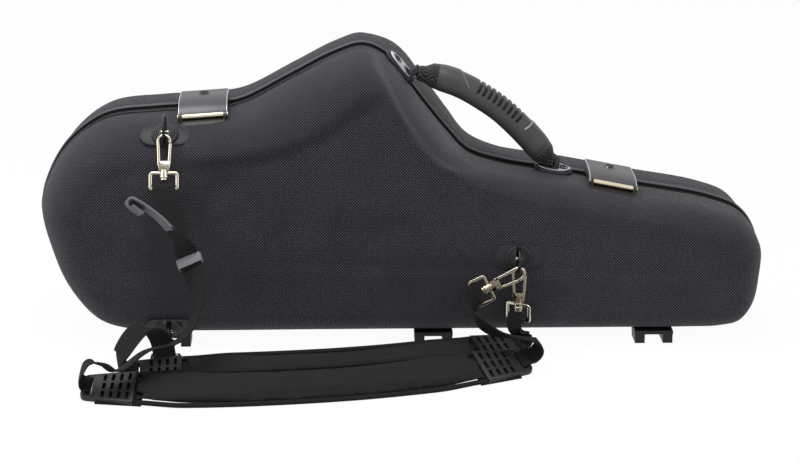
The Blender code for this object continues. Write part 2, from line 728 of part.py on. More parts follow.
def latch(tag, edge, case, lid, lid_origin, shells):
    """A flap latch: base, bright bar, cover that folds over the seam, lock and keeper."""
    front = on_outline(f"{tag}_latch_place", edge, case, (0, 0, 0), latch_sink)
    back = on_outline(f"{tag}_keeper_place", edge, lid, lid_origin, latch_sink)
    half = latch_width / 2
    base_half = half - latch_arm - gap
    base_end = latch_reach + base_lip
    across = Vector((1, 0, 0))
    up = Vector((0, 0, 1))

    def level(depth):
        return min(0.0, latch_sink - edge.drawn_in(-1, depth)) - latch_skim

    depths = [valance_depth] + [base_end * share for share in base_bed_shares]
    bed = [(-depth - gap, level(depth)) for depth in depths]
    ceiling = latch_rise + bead_proud
    clear = half + 2 * gap
    pocket = [(bed[-1][0] - gap, ceiling), *reversed(bed), (-valance_depth + overrun, bed[0][1])]
    pocket.append((-valance_depth + overrun, ceiling))
    seat(shells[0], front, prism(pocket, -clear, clear, "X"))
    keeper_end = keeper_place * 3
    keeper_half = keeper_width / 2
    low_corner = (-keeper_half - gap, bead_depth - overrun, 0)
    seat(shells[1], back, box(low_corner, (keeper_half + gap, keeper_end + gap, ceiling)))

    outline = [(y, z + gap) for y, z in bed]
    outline.append((-base_end - gap, bed[-1][1] + gap + base_thickness / 2))
    outline += [(y, z + gap + base_thickness) for y, z in reversed(bed[:-1])]
    base = piece(f"{tag}_latch_base", prism(outline, -base_half, base_half, "X"), latch_metal, front)
    bar_place = (-latch_reach, level(latch_reach) + bar_lift)
    ear = [
        (-latch_reach - ear_radius, level(latch_reach + ear_radius) + base_thickness / 2),
        (-latch_reach + ear_radius, level(latch_reach - ear_radius) + base_thickness / 2),
        *arc(bar_place, ear_radius, *ear_arc, arc_sides),
    ]
    for x in (-base_half, base_half - latch_arm):
        cut(base, prism(ear, x, x + latch_arm, "X"), "UNION")
    axis = Vector((0, *bar_place))
    cut(base, rod(bar_radius + gap, axis - across * latch_width, axis + across * latch_width))
    bar = rod(bar_radius, axis - across * (half + latch_arm / 2), axis + across * (half + latch_arm / 2))
    piece(f"{tag}_latch_bar", bar, bright_metal, front)

    turn = empty(f"{tag}_cover_axis", front, axis)
    under = latch_rise - cover_thickness
    front_top = bar_place[1] + cover_front_rise
    crown = [(-latch_reach + bar_radius + latch_arm, front_top)]
    crown += [(-latch_reach * y, front_top + (latch_rise - front_top) * z) for y, z in cover_crown_shares]
    skin = crown + [(latch_tail_bend, latch_rise), (latch_tail, under)]
    skin += [(y, z - cover_thickness) for y, z in reversed(skin)]
    cover = piece(f"{tag}_latch_cover", prism(skin, -half, half, "X"), latch_metal, turn, axis)
    floor = bed[0][1] + base_thickness + 2 * gap
    cheek = [
        *arc(bar_place, ear_radius, *cheek_arc, arc_sides),
        (-latch_reach * cheek_start_share, floor),
        (-valance_depth, floor),
        (-valance_depth, under + cover_thickness / 2),
        *((y, z - cover_thickness / 2) for y, z in reversed(crown)),
    ]
    for x in (-half, half - latch_arm):
        arm = prism(cheek, x, x + latch_arm, "X")
        bmesh.ops.translate(arm, vec=-axis, verts=arm.verts)
        cut(cover, arm, "UNION")
    cut(cover, rod(bar_radius + gap, -across * latch_width, across * latch_width))
    lock_place = Vector((0, -lock_setback, under)) - axis
    barrel = lock_radius - lock_flange
    cut(cover, rod(barrel + gap, lock_place - up * overrun, lock_place + up * overrun * 2, 14))

    lock_axis = empty(f"{tag}_lock_axis", turn, lock_place)
    rise = cover_thickness + gap
    lock = rod(barrel, -up * (cam_drop + cam_thickness / 2), up * (rise + lock_flange / 2), 14)
    lock = piece(f"{tag}_lock", lock, bright_metal, lock_axis)
    cut(lock, rod(lock_radius, up * rise, up * (rise + lock_flange), 14), "UNION")
    cam_low = (-lock_radius * 0.9, -cam_width / 2, -cam_drop - cam_thickness)
    cut(lock, box(cam_low, (cam_length, cam_width / 2, -cam_drop)), "UNION")
    slot = lock_flange / 2
    keyway = box((-slot, -lock_radius / 2, rise - slot), (slot, lock_radius / 2, rise + lock_flange + overrun))
    cut(lock, keyway)

    over_bead = latch_sink + bead_proud + gap
    tab_low = under - cam_drop + gap
    foot = (
        (bead_depth + gap, gap),
        (keeper_end, gap),
        (keeper_end, gap + keeper_thickness / 2),
        (keeper_place + 2 * keeper_thickness, over_bead + keeper_thickness),
        (bead_depth + gap, over_bead + keeper_thickness),
    )
    catch = (
        (keeper_place, over_bead),
        (keeper_place + keeper_thickness, over_bead),
        (keeper_place + keeper_thickness, tab_low + cam_thickness),
        (keeper_place - 2 * keeper_thickness, tab_low + cam_thickness),
        (keeper_place - 2 * keeper_thickness, tab_low),
        (keeper_place, tab_low),
    )
    keeper = prism(foot, -keeper_half, keeper_half, "X")
    keeper = piece(f"{tag}_latch_keeper", keeper, latch_metal, back)
    cut(keeper, prism(catch, -keeper_half + gap, keeper_half - gap, "X"), "UNION")
    return turn, lock_axis


def strap_frames(route, across, held):
    """Frames along a strap: place, heading, width's way and thickness's way at each point."""
    frames = []
    last = len(route) - 1
    for i, here in enumerate(route):
        along = (route[min(i + 1, last)] - route[max(i - 1, 0)]).normalized()
        share = min(1.0, max(0.0, (i - held) / (last - 2 * held)))
        wide = across[0].lerp(across[1], share)
        wide = (wide - along * wide.dot(along)).normalized()
        frames.append((here, along, wide, along.cross(wide).normalized()))
    return frames


def ribbon(frames, width, thickness):
    """A flat strap through its frames."""
    rings = []
    for here, along, wide, thick in frames:
        a, b = wide * width / 2, thick * thickness / 2
        rings.append([here - a - b, here + a - b, here + a + b, here - a + b])
    return lofted(rings)


def rounded_section(width, thickness, sides):
    """A flat oval as (across, out) points, squarer than an ellipse."""
    made = []
    for i in range(sides):
        turn = math.tau * (i + 0.5) / sides
        c, s = math.cos(turn), math.sin(turn)
        power = 2 / 2.8
        across = math.copysign(abs(c) ** power, c) * width / 2
        made.append((across, math.copysign(abs(s) ** power, s) * thickness / 2))
    return made


def handle(case, front_shell):
    """The carrying handle: ribbed grip between two webbing ends, each turning in a bracket eye."""
    places = [edge_at(share) for share in handle_end_shares]
    heights = (upper_pivot_height, lower_pivot_height)
    pivots = [edge.on(-height, -handle_setback) for edge, height in zip(places, heights)]
    chord = pivots[1] - pivots[0]
    along = chord.normalized()
    out = Vector((-along.z, 0, along.x))
    swing = empty("handle_axis", case, pivots[0])
    controls = [pivots[0] + chord * t + out * chord.length * h for t, h in handle_route_shares]
    route = spline(controls, 12, closed=False)
    lengths = [0.0]
    for a, b in zip(route, route[1:]):
        lengths.append(lengths[-1] + (b - a).length)

    def at(share):
        target = share * lengths[-1]
        for i in range(1, len(route)):
            if lengths[i] >= target:
                t = (target - lengths[i - 1]) / (lengths[i] - lengths[i - 1])
                heading = (route[i] - route[i - 1]).normalized()
                return route[i - 1].lerp(route[i], t), heading
        return route[-1], (route[-1] - route[-2]).normalized()

    def station(share, width, thickness, bump=0.0, sides=12):
        place, heading = at(share)
        upward = Vector((-heading.z, 0, heading.x))
        ring = []
        for across, height in rounded_section(width, thickness, sides):
            lift = bump * max(0.0, height / (thickness / 2))
            ring.append(place + Vector((0, across, 0)) + upward * (height + lift))
        return ring

    grip = []
    swell = grip_end_share - grip_start_share
    for i in range(5):
        share = grip_start_share + (rib_start_share - grip_start_share) * i / 5
        ease = smoothstep(i / 3)
        grip.append(station(share, grip_width * (0.8 + 0.2 * ease), grip_thickness * (0.85 + 0.15 * ease)))
    pitch = (rib_end_share - rib_start_share) / grip_ribs
    for i in range(grip_ribs):
        for part, bump in ((0, 0), (0.3, 1), (0.7, 1)):
            share = rib_start_share + pitch * (i + part)
            grip.append(station(share, grip_width, grip_thickness, grip_rib_rise * bump))
    for i in range(5):
        share = rib_end_share + (grip_end_share - rib_end_share) * i / 4
        ease = smoothstep((4 - i) / 3)
        grip.append(station(share, grip_width * (0.8 + 0.2 * ease), grip_thickness * (0.8 + 0.2 * ease)))
    piece("handle_grip", lofted(grip), grip_rubber, swing, pivots[0])

    joint_share = gap / (swell * lengths[-1])
    ends = (("upper", 0.0, grip_start_share - joint_share), ("lower", 1.0, grip_end_share + joint_share))
    for k, (tag, first, last) in enumerate(ends):
        rings = []
        for i in range(5):
            t = i / 4
            width = webbing_stub_width * (0.62 + 0.38 * smoothstep(2 * t))
            thick = webbing_stub_thickness * (0.7 + 0.3 * smoothstep(2 * t))
            rings.append(station(first + (last - first) * t, width, thick, sides=10))
        stub = piece(f"handle_{tag}_end", lofted(rings), strap_webbing, swing, pivots[0])
        direction = along if k == 0 else -along
        eye = Vector((0, 0, 0)) if k == 0 else chord
        pin = rod(handle_pin_radius, eye - direction * eye_thickness / 2, eye + direction * (eye_thickness + handle_pin_length))
        cut(stub, pin, "UNION")
        handle_bracket(tag, k, pivots[k], direction, case, front_shell)
    return swing, along


def stadium(length, width):
    """A flat outline with round ends, as (x, y) points."""
    reach = length / 2 - width / 2
    right = arc((reach, 0), width / 2, -90, 90, 6)
    return right + arc((-reach, 0), width / 2, 90, 270, 6)


def slab(length, width, low, high):
    return lofted([[Vector((x, y, level)) for x, y in stadium(length, width)] for level in (low, high)])


def handle_bracket(tag, k, pivot, direction, case, front_shell):
    """A rubber pad and a metal plate on the shell's side wall, with the eye the handle turns in."""
    frame = on_outline(f"handle_{tag}_place", edge_at(bracket_shares[k]), case, (0, 0, 0), bracket_sink)
    frame.location.y -= handle_setback
    length = bracket_lengths[k]
    ceiling = bracket_sink + bracket_pad_thickness
    seat(front_shell, frame, slab(length + 2 * gap, bracket_width + 2 * gap, 0, ceiling + overrun))
    pad_top = gap + bracket_pad_thickness
    piece(f"handle_{tag}_pad", slab(length, bracket_width, gap, pad_top), soft_rubber, frame)
    plate_low = pad_top + gap
    plate_top = plate_low + bracket_plate_thickness
    size = (length - bracket_margin, bracket_width - 2 * bracket_margin)
    plate = piece(f"handle_{tag}_plate", slab(*size, plate_low, plate_top), bracket_metal, frame)
    to_local = frame.matrix_basis.inverted()
    centre = to_local @ pivot
    axis = (to_local.to_3x3() @ direction).normalized()
    outer = handle_pin_radius + gap + eye_wall
    start = centre - axis * eye_thickness / 2
    cut(plate, rod(outer, start, start + axis * eye_thickness, 14), "UNION")
    low_corner = (centre.x - eye_thickness / 2, -outer + gap, plate_low + gap)
    post = box(low_corner, (centre.x + eye_thickness / 2, outer - gap, centre.z))
    cut(plate, post, "UNION")
    bore_start = start - axis * overrun * 2
    cut(plate, rod(handle_pin_radius + gap, bore_start, start + axis * (eye_thickness + overrun * 2), 14))


def anchor(tag, place, normal, case, front_shell):
    """A strap anchor in its own frame: X along, Z out of the shell, Y up the shell."""
    frame = empty(f"{tag}_anchor_place", case, place - normal * anchor_sink)
    frame.rotation_euler.x = math.atan2(-normal.y, normal.z)
    seat(front_shell, frame, slab(anchor_length + 2 * gap, anchor_width + 2 * gap, 0, boss_height))
    plate = slab(anchor_length, anchor_width, gap, anchor_thickness)
    plate = piece(f"{tag}_anchor", plate, soft_rubber, frame)
    circle = [(math.cos(math.tau * i / 18), math.sin(math.tau * i / 18)) for i in range(18)]
    levels = (
        (boss_radius - gap, 2 * gap),
        (boss_radius, anchor_thickness),
        (boss_radius - gap, boss_height * 0.6),
        (boss_radius * 0.9, boss_height * 0.88),
        (boss_radius * 0.76, boss_height),
    )
    boss = lofted([[Vector((r * c, r * s, z)) for c, s in circle] for r, z in levels])
    cut(plate, boss, "UNION")
    reach = boss_radius + overrun
    slot = anchor_slot / 2
    cut(plate, box((-slot, -reach, anchor_floor), (slot, reach, boss_height + overrun)))
    across = Vector((anchor_slot, 0, 0))
    middle = Vector((0, 0, anchor_bar_height))
    cut(plate, rod(anchor_bar_radius, middle - across, middle + across, 12), "UNION")
    return place + normal * (anchor_bar_height - anchor_sink)


def torus(radius, wire, centre, steps=16, sides=6):
    """A closed ring of wire in the frame's YZ plane."""
    rings = []
    for i in range(steps):
        turn = math.tau * i / steps
        out = Vector((0, math.cos(turn), math.sin(turn)))
        ring = []
        for k in range(sides):
            around = math.tau * k / sides
            off = Vector((wire * math.sin(around), 0, 0))
            ring.append(centre + out * (radius + wire * math.cos(around)) + off)
        rings.append(ring)
    return lofted(rings, looped=True)


def hook_outline():
    """The hook's side view about the middle of its top bend: (x, z) points."""
    outer = hook_inner + hook_wire
    nose = -hook_wire / 2
    hub_top = -hook_leg
    hub_low = hub_top - hub_height
    return [
        (outer, nose),
        *arc((0, 0), outer, 0, 180, 9),
        (-outer, hub_top),
        (-hub_neck, hub_low),
        (hub_neck, hub_low),
        (outer - gap, hub_top - hub_height * 0.45),
        (outer - gap, hub_top - hub_height * 0.1),
        (0, hub_top),
        (-hook_inner, hub_top + hook_wire / 2),
        *arc((0, 0), hook_inner, 180, 0, 7),
        (hook_inner, nose),
    ]


def gate_pivot():
    return Vector((hook_inner * 0.9, 0, -hook_leg - hub_height * 0.42))


def hook_mesh():
    """The hook body: bail, slotted hub, rivet and the swivel stem below it."""
    half = hook_wire / 2
    body = piece("hook_body", prism(hook_outline(), -half, half), bright_metal, None)
    pivot = gate_pivot()
    reach = gate_width / 2 + 2 * gap
    slot_half = gate_thickness / 2 + gap
    slot = box(
        (pivot.x - reach, -slot_half, pivot.z - reach),
        (hook_inner + hook_wire + overrun, slot_half, -hook_leg + overrun),
    )
    cut(body, slot)
    side = Vector((0, half - gap, 0))
    cut(body, rod(rivet_radius, pivot - side, pivot + side, 8), "UNION")
    hub_low = -hook_leg - hub_height
    stem = rod(swivel_radius, (0, 0, hub_low + gap), (0, 0, hub_low - swivel_length), 10)
    cut(body, stem, "UNION")
    head = hub_low - swivel_length + head_thickness
    cut(body, rod(swivel_head, (0, 0, head), (0, 0, head - head_thickness), 10), "UNION")
    mesh = body.data
    bpy.data.objects.remove(body, do_unlink=True)
    return mesh


def gate_mesh():
    """The gate about its rivet: a bar that closes the hook's mouth."""
    pivot = gate_pivot()
    eye = gate_width / 2 + gap
    top = -hook_wire / 2 - gap - pivot.z
    outer = hook_inner + hook_wire - pivot.x
    inner = outer - gate_width
    outline = [
        *arc((0, 0), eye, 160, 350, 8),
        (outer, eye),
        (outer, top),
        (inner, top),
        (inner, eye * 2),
    ]
    half = gate_thickness / 2
    gate = piece("gate_body", prism(outline, -half, half), bright_metal, None)
    side = Vector((0, hook_wire, 0))
    cut(gate, rod(rivet_radius + gap, -side, side, 10))
    mesh = gate.data
    bpy.data.objects.remove(gate, do_unlink=True)
    return mesh


def loop_mesh():
    """The strap loop below a hook, about the hook's top bend, with the collar the stem turns in."""
    top = -hook_leg - hub_height - gap
    half, wire = loop_width / 2, loop_wire
    low = top - loop_height
    corner = wire * 0.7

    def frame(inset):
        a, r = half - inset, corner
        return [
            (-a, low + inset + r),
            (-a + r, low + inset),
            (a - r, low + inset),
            (a, low + inset + r),
            (a - r / 2, top - inset - r),
            (a - r * 2, top - inset),
            (-a + r * 2, top - inset),
            (-a + r / 2, top - inset - r),
        ]

    depth = wire / 2
    outer, inner = frame(0), frame(wire)
    rings = [
        [Vector((x, -depth, z)) for x, z in outer],
        [Vector((x, -depth, z)) for x, z in inner],
        [Vector((x, depth, z)) for x, z in inner],
        [Vector((x, depth, z)) for x, z in outer],
    ]
    loop = piece("loop_body", lofted(rings, looped=True), bright_metal, None)
    collar_low = top - swivel_length + head_thickness + 2 * gap
    collar = rod(loop_collar, (0, 0, top), (0, 0, collar_low), 10)
    cut(loop, collar, "UNION")
    cut(loop, rod(swivel_radius + gap, (0, 0, top + overrun), (0, 0, collar_low - overrun), 10))
    mesh = loop.data
    bpy.data.objects.remove(loop, do_unlink=True)
    return mesh


def shared(name, mesh, parent, location=(0, 0, 0)):
    """One more object on a mesh that a sub-part shares with its twins."""
    made = bpy.data.objects.new(name, mesh)
    made.parent = parent
    made.location = location
    bpy.context.collection.objects.link(made)
    return made


def axes(x, z):
    """A rotation whose X and Z point the given ways."""
    x, z = Vector(x).normalized(), Vector(z).normalized()
    return Matrix((x, z.cross(x), z)).transposed().to_4x4()


def around_bar(frame, start, end, corner):
    """A strap's middle line round a square bar: frame's X runs along the bar, angles in its YZ."""
    radius = corner * wrap_corner + gap + webbing_thickness / 2
    return [frame @ Vector((0, y, z)) for y, z in arc((0, 0), radius, start, end, 5)]


def snap_hook(tag, case, seat_point, across, up, loop_turn, meshes):
    """A hook hanging on a ring, its gate, and the strap loop on its swivel stem."""
    hook_mesh_data, gate_mesh_data, loop_mesh_data = meshes
    place = empty(f"{tag}_hook_place", case, seat_point - Vector(up).normalized() * hook_seat)
    place.rotation_euler = axes(across, up).to_euler()
    hook = shared(f"{tag}_hook", hook_mesh_data, place)
    shared(f"{tag}_gate", gate_mesh_data, hook, gate_pivot())
    loop = shared(f"{tag}_hook_loop", loop_mesh_data, place)
    loop.rotation_euler.z = loop_turn
    bar = Vector((0, 0, -hook_leg - hub_height - gap - loop_height + loop_wire / 2))
    turned_frame = place.matrix_basis @ Matrix.Rotation(loop_turn, 4, "Z")
    return turned_frame @ Matrix.Translation(bar)


def fitting_mesh():
    """A slotted pad end: X runs outward from the pad, Y across it."""
    half, far = fitting_width / 2, fitting_end_width / 2
    corner = fitting_bar / 2
    outline = (
        (gap, -half),
        (fitting_length - corner, -far),
        (fitting_length, -far + corner),
        (fitting_length, far - corner),
        (fitting_length - corner, far),
        (gap, half),
    )
    thick = fitting_thickness / 2
    rings = [[Vector((x, y, z)) for x, y in outline] for z in (-thick, thick)]
    plate = piece("fitting_body", lofted(rings), fitting_plastic, None)
    holes = bmesh.new()
    reach = thick + overrun
    window_end = fitting_length - fitting_bar
    spans = [(window_end - fitting_window, window_end, 0, webbing_width + 3 * webbing_thickness / 2)]
    for column in range(4):
        x = fitting_pitch * (column + 0.8)
        for row in (-1, 0, 1):
            spans.append((x, x + fitting_slot, row * fitting_row, fitting_slot_length))
    for start, end, y, length in spans:
        low, high = y - length / 2, y + length / 2
        corners = ((start, low), (end, low), (end, high), (start, high))
        loft(holes, [[Vector((a, b, z)) for a, b in corners] for z in (-reach, reach)])
    cut(plate, holes)
    mesh = plate.data
    bpy.data.objects.remove(plate, do_unlink=True)
    return mesh


def pad(tag, controls, case, fitting):
    """A crowned strap pad that leans on its front edge, with a slotted fitting at either end."""
    route = spline([Vector((x, y, 0)) for x, y in controls], 3, closed=False)
    section = rounded_section(pad_width, pad_thickness, 12)
    lean_up, lean_out = math.sin(pad_lean), math.cos(pad_lean)
    rest = pad_rest - min(a * lean_up + h * lean_out for a, h in section) - 2 * pad_rest
    up = Vector((0, 0, 1))
    rings, ends = [], []
    last = len(route) - 1
    for i, here in enumerate(route):
        along = (route[min(i + 1, last)] - route[max(i - 1, 0)]).normalized()
        behind = up.cross(along)
        across = behind * lean_out + up * lean_up
        normal = up * lean_out - behind * lean_up
        ease = smoothstep(min(i, last - i) / 4)
        wide, thick = 0.86 + 0.14 * ease, 0.5 + 0.5 * ease
        ring = []
        for a, h in section:
            point = here + up * rest + across * a * wide + normal * h * thick
            point.z = max(point.z, 0.0)
            ring.append(point)
        rings.append(ring)
        if i in (0, last):
            outward = along if i else -along
            frame = empty(f"{tag}_pad_{'right' if i else 'left'}_place", case, here + up * rest)
            frame.rotation_euler = axes(outward, normal).to_euler()
            shared(f"{tag}_pad_{'right' if i else 'left'}_end", fitting, frame)
            ends.append(frame.matrix_basis.copy())
    piece(f"{tag}_pad", lofted(rings), pad_fabric, case)
    return ends


def to_fitting(frame, points):
    """A strap's last points: free ones in the fitting's frame, then the wrap on its bar."""
    bar = fitting_length - fitting_bar / 2
    free = [frame @ Vector((bar + x, 0, z)) for x, z in points]
    bar_frame = frame @ Matrix.Translation((bar, 0, 0)) @ Matrix.Rotation(math.pi / 2, 4, "Z")
    wrap = around_bar(bar_frame, 100, -100, fitting_bar)
    return free, wrap


def strap(name, hook_bar, middle, end_frame, end_points, across, case):
    """Webbing from a hook's loop, through free points, to a pad's slotted end."""
    start = around_bar(hook_bar, -40, 190, loop_wire)
    free, wrap = to_fitting(end_frame, end_points)
    controls = start + [Vector(point) for point in middle] + free + wrap
    route = spline(controls, strap_steps, closed=False)
    frames = strap_frames(route, across, strap_steps * len(wrap))
    piece(name, ribbon(frames, webbing_width, webbing_thickness), strap_webbing, case)
    return frames


def shares(table):
    return [Vector(row) * case_length for row in table]


def curl(table):
    return [(x * fitting_length, z * fitting_length) for x, z in table]


case = empty("case_frame", None, (0, middle_offset, 0))
lid_origin = Vector((0, 0, axis_height))
lid = empty("lid_axis", case, lid_origin)

front_shell = shell("front_shell", -1, case, (0, 0, 0))
back_shell = shell("back_shell", 1, lid, lid_origin)
tongue_inset = rim_width - tongue_width
front_section = (
    (valance_recess, valance_depth),
    (valance_recess, gap),
    (tongue_inset, gap),
    (tongue_inset, -tongue_reach),
    (rim_width, -tongue_reach),
    (rim_width, valance_depth),
)
bead_inner = tongue_inset - gap
back_section = (
    (0, gap),
    (-bead_proud * 0.85, bead_depth * 0.2),
    (-bead_proud, bead_depth * 0.5),
    (-bead_proud * 0.85, bead_depth * 0.8),
    (0, bead_depth),
    (bead_inner, bead_depth),
    (bead_inner, gap),
)
rim_ring("front_rim", front_section, -1, rim_rubber, case, (0, 0, 0))
rim_ring("back_rim", back_section, 1, bead_plastic, lid, lid_origin)
lining("front_lining", -1, front_recess_depth, case, (0, 0, 0))
lining("back_lining", 1, back_recess_depth, lid, lid_origin)

for tag, share in zip(("left", "middle", "right"), hinge_shares):
    hinge_leaf(f"{tag}_hinge_front", -1, share * case_length, case, (0, 0, 0))
    hinge_leaf(f"{tag}_hinge_back", 1, share * case_length, lid, lid_origin)

for tag, share in zip(("left", "right"), latch_shares):
    latch(tag, edge_at(share), case, lid, lid_origin, (front_shell, back_shell))

handle_line = handle(case, front_shell)[1]

face_rim = [edge.turned(-1, 0, 1) for edge in edges]
face_rim = [Vector((point.x, point.z)) for point in face_rim]
face_point = placed(face_anchor_share)
face_level = front_depth + relief(face_point, face_rim + face_rim[:1])
forward, upward, rightward = Vector((0, -1, 0)), Vector((0, 0, 1)), Vector((1, 0, 0))
seats = {"face": (Vector((face_point.x, -face_level, face_point.y)), forward)}
for tag, share, turn in edge_anchor_shares:
    edge = edge_at(share, upper=tag == "bell_top")
    seats[tag] = (edge.turned(-1, 0, turn), edge.facing(-1, turn))
dipped = forward * math.cos(ring_dip) - upward * math.sin(ring_dip)
raised = forward * math.cos(ring_rise) + upward * math.sin(ring_rise)
ring_middles = {}
for tag, (place, normal) in seats.items():
    normal = Vector((0, normal.y, normal.z)).normalized()
    bar = anchor(tag, place, normal, case, front_shell)
    hang = {"bell_bottom": dipped, "bell_top": raised}.get(tag, normal) * ring_hang
    piece(f"{tag}_ring", torus(ring_radius, ring_wire, hang), bright_metal, empty(f"{tag}_ring_axis", case, bar))
    ring_middles[tag] = bar + hang

meshes = (hook_mesh(), gate_mesh(), loop_mesh())
below = (forward * math.sin(top_hook_lean) - upward * math.cos(top_hook_lean)) * ring_radius
ahead = (forward * math.cos(hook_dip) - upward * math.sin(hook_dip)) * ring_radius
twin_seats = [
    ring_middles["face"] + Vector((0, back, -math.sqrt(ring_radius**2 - back**2)))
    for back in twin_hook_setbacks
]
lean_up = Vector((math.sin(leaning_hook_turn), 0, math.cos(leaning_hook_turn)))
lean_across = Vector((math.cos(leaning_hook_turn), 0, -math.sin(leaning_hook_turn)))
top_bar = snap_hook("top", case, ring_middles["bell_top"] + below, rightward, -below, 0, meshes)
bottom_bar = snap_hook("bottom", case, ring_middles["bell_bottom"] + ahead, rightward, -ahead, 0, meshes)
upright_bar = snap_hook("upright", case, twin_seats[0], rightward, upward, upright_loop_turn, meshes)
leaning_bar = snap_hook("leaning", case, twin_seats[1], lean_across, lean_up, 0, meshes)

fitting = fitting_mesh()
front_left, front_right = pad("front", [row[:2] for row in shares(front_pad_shares)], case, fitting)
rear_left, rear_right = pad("rear", [row[:2] for row in shares(rear_pad_shares)], case, fitting)


def joined(name, bar, middle, end, curl_table, sign, tag=None):
    across = [bar.col[0].xyz * sign, end.col[1].xyz]
    return strap(name, bar, shares(middle), end, curl(curl_table), across, case)


top_frames = joined("top_strap", top_bar, top_strap_shares, front_left, long_curl_shares, 1)
joined("bottom_strap", bottom_bar, bottom_strap_shares, rear_left, short_curl_shares, 1)
joined("leaning_strap", leaning_bar, leaning_strap_shares, front_right, short_curl_shares, 1)
joined("upright_strap", upright_bar, upright_strap_shares, rear_right, close_curl_shares, -1)

keeper_place_on_strap = Vector(top_strap_shares[1]) * case_length
here, along, wide, thick = min(top_frames, key=lambda frame: (frame[0] - keeper_place_on_strap).length)
slide_half = keeper_length / 2
slide_inner = (webbing_width + 4 * gap) / 2
window = webbing_thickness + 3 * gap
sections = ((slide_half, window + keeper_wall), (slide_inner, window))
lift = webbing_thickness / 2 + gap
slide_rings = []
for (a, b), z in (
    (sections[0], -keeper_height / 2),
    (sections[1], -keeper_height / 2),
    (sections[1], keeper_height / 2),
    (sections[0], keeper_height / 2),
):
    corners = ((-a, -b), (a, -b), (a, b), (-a, b))
    slide_rings.append([here + along * z + wide * x + thick * (y + lift) for x, y in corners])
piece("strap_slide", lofted(slide_rings, looped=True), buckle_plastic, case)

tail_route = []
for run, rise in tail_shares:
    stray = smoothstep(run - 2 * keeper_height / tail_length) * tail_stray
    tail_route.append(here - along * run * tail_length + thick * rise * tail_length - wide * stray)
tail_route = spline(tail_route, strap_steps, closed=False)
tail_frames = strap_frames(tail_route, (wide, wide), 0)
piece("strap_tail", ribbon(tail_frames, webbing_width, webbing_thickness), strap_webbing, case)

for made in bpy.data.objects:
    if made.type == "MESH":
        made.data.shade_smooth()
        made.data.set_sharp_from_angle(angle=math.radians(35))
bpy.context.view_layer.update()
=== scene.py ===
import json
import math

import bmesh
import bpy
from mathutils import Matrix, Vector, noise


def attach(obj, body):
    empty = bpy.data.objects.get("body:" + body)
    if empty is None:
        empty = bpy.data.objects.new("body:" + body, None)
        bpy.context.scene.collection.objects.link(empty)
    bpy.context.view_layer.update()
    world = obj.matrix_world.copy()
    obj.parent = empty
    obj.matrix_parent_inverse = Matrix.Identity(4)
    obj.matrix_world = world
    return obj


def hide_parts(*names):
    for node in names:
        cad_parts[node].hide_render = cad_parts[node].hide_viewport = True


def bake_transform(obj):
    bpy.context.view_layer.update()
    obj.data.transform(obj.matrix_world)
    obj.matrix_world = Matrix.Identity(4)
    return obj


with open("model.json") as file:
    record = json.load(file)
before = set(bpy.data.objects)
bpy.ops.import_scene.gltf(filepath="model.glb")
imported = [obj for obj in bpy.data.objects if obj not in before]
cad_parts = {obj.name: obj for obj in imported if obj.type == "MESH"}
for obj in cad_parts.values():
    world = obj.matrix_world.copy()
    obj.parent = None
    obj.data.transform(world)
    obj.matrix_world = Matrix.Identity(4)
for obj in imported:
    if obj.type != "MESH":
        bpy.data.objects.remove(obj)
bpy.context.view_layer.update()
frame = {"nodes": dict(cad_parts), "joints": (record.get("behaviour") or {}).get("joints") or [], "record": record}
nodes = frame["nodes"]
joints = {joint["name"]: joint for joint in frame["joints"]}
bodies = frame["record"]["behaviour"]["bodies"]
bodyOf = {member: body for body, members in bodies.items() for member in members}
mm = 0.001
seamY = 72 * mm  # where the case's seam lies; shapes of the case are drawn about it
toSeam = Matrix.Translation((0, seamY, 0))
upward = Vector((0, 0, 1))

view = {
    "target": (-1.4 * mm, 72 * mm, 91.4 * mm),
    "distance": 2.2,
    "elevation": 15,
    "yaw": 1.5,
    "lens": 106.5,
}


def shown(name, data):
    made = bpy.data.objects.new(name, data)
    bpy.context.scene.collection.objects.link(made)
    return made


def setUpCamera():
    tilt, yaw = math.radians(view["elevation"]), math.radians(view["yaw"])
    away = Vector((-math.sin(yaw) * math.cos(tilt), -math.cos(yaw) * math.cos(tilt), math.sin(tilt)))
    made = shown("camera", bpy.data.cameras.new("camera"))
    made.data.lens = view["lens"]
    made.data.clip_end = 20
    made.location = Vector(view["target"]) + away * view["distance"]
    made.rotation_euler = (-away).to_track_quat("-Z", "Y").to_euler()
    bpy.context.scene.camera = made


setUpCamera()
print("camera set")


class Wire:
    # One socket of a material, for sums written as plain expressions
    def __init__(self, look, socket):
        self.look = look
        self.socket = socket

    def math(self, operation, *values):
        return self.look.node("ShaderNodeMath", {"operation": operation}, dict(enumerate(values)))

    def __add__(self, other):
        return self.math("ADD", self, other)

    def __radd__(self, other):
        return self.math("ADD", other, self)

    def __sub__(self, other):
        return self.math("SUBTRACT", self, other)

    def __rsub__(self, other):
        return self.math("SUBTRACT", other, self)

    def __mul__(self, other):
        return self.math("MULTIPLY", self, other)

    def __rmul__(self, other):
        return self.math("MULTIPLY", other, self)

    def __pow__(self, other):
        return self.math("POWER", self, other)

    def __abs__(self):
        return self.math("ABSOLUTE", self)

    def wave(self):
        return self.math("SINE", self)

    def between(self, low, high):
        # 0 below low, 1 above high, smooth in between
        settings = {"interpolation_type": "SMOOTHSTEP"}
        return self.look.node("ShaderNodeMapRange", settings, {0: self, 1: low, 2: high})

    def parts(self):
        split = self.look.node("ShaderNodeSeparateXYZ", {}, {0: self})
        return [Wire(self.look, socket) for socket in split.socket.node.outputs]


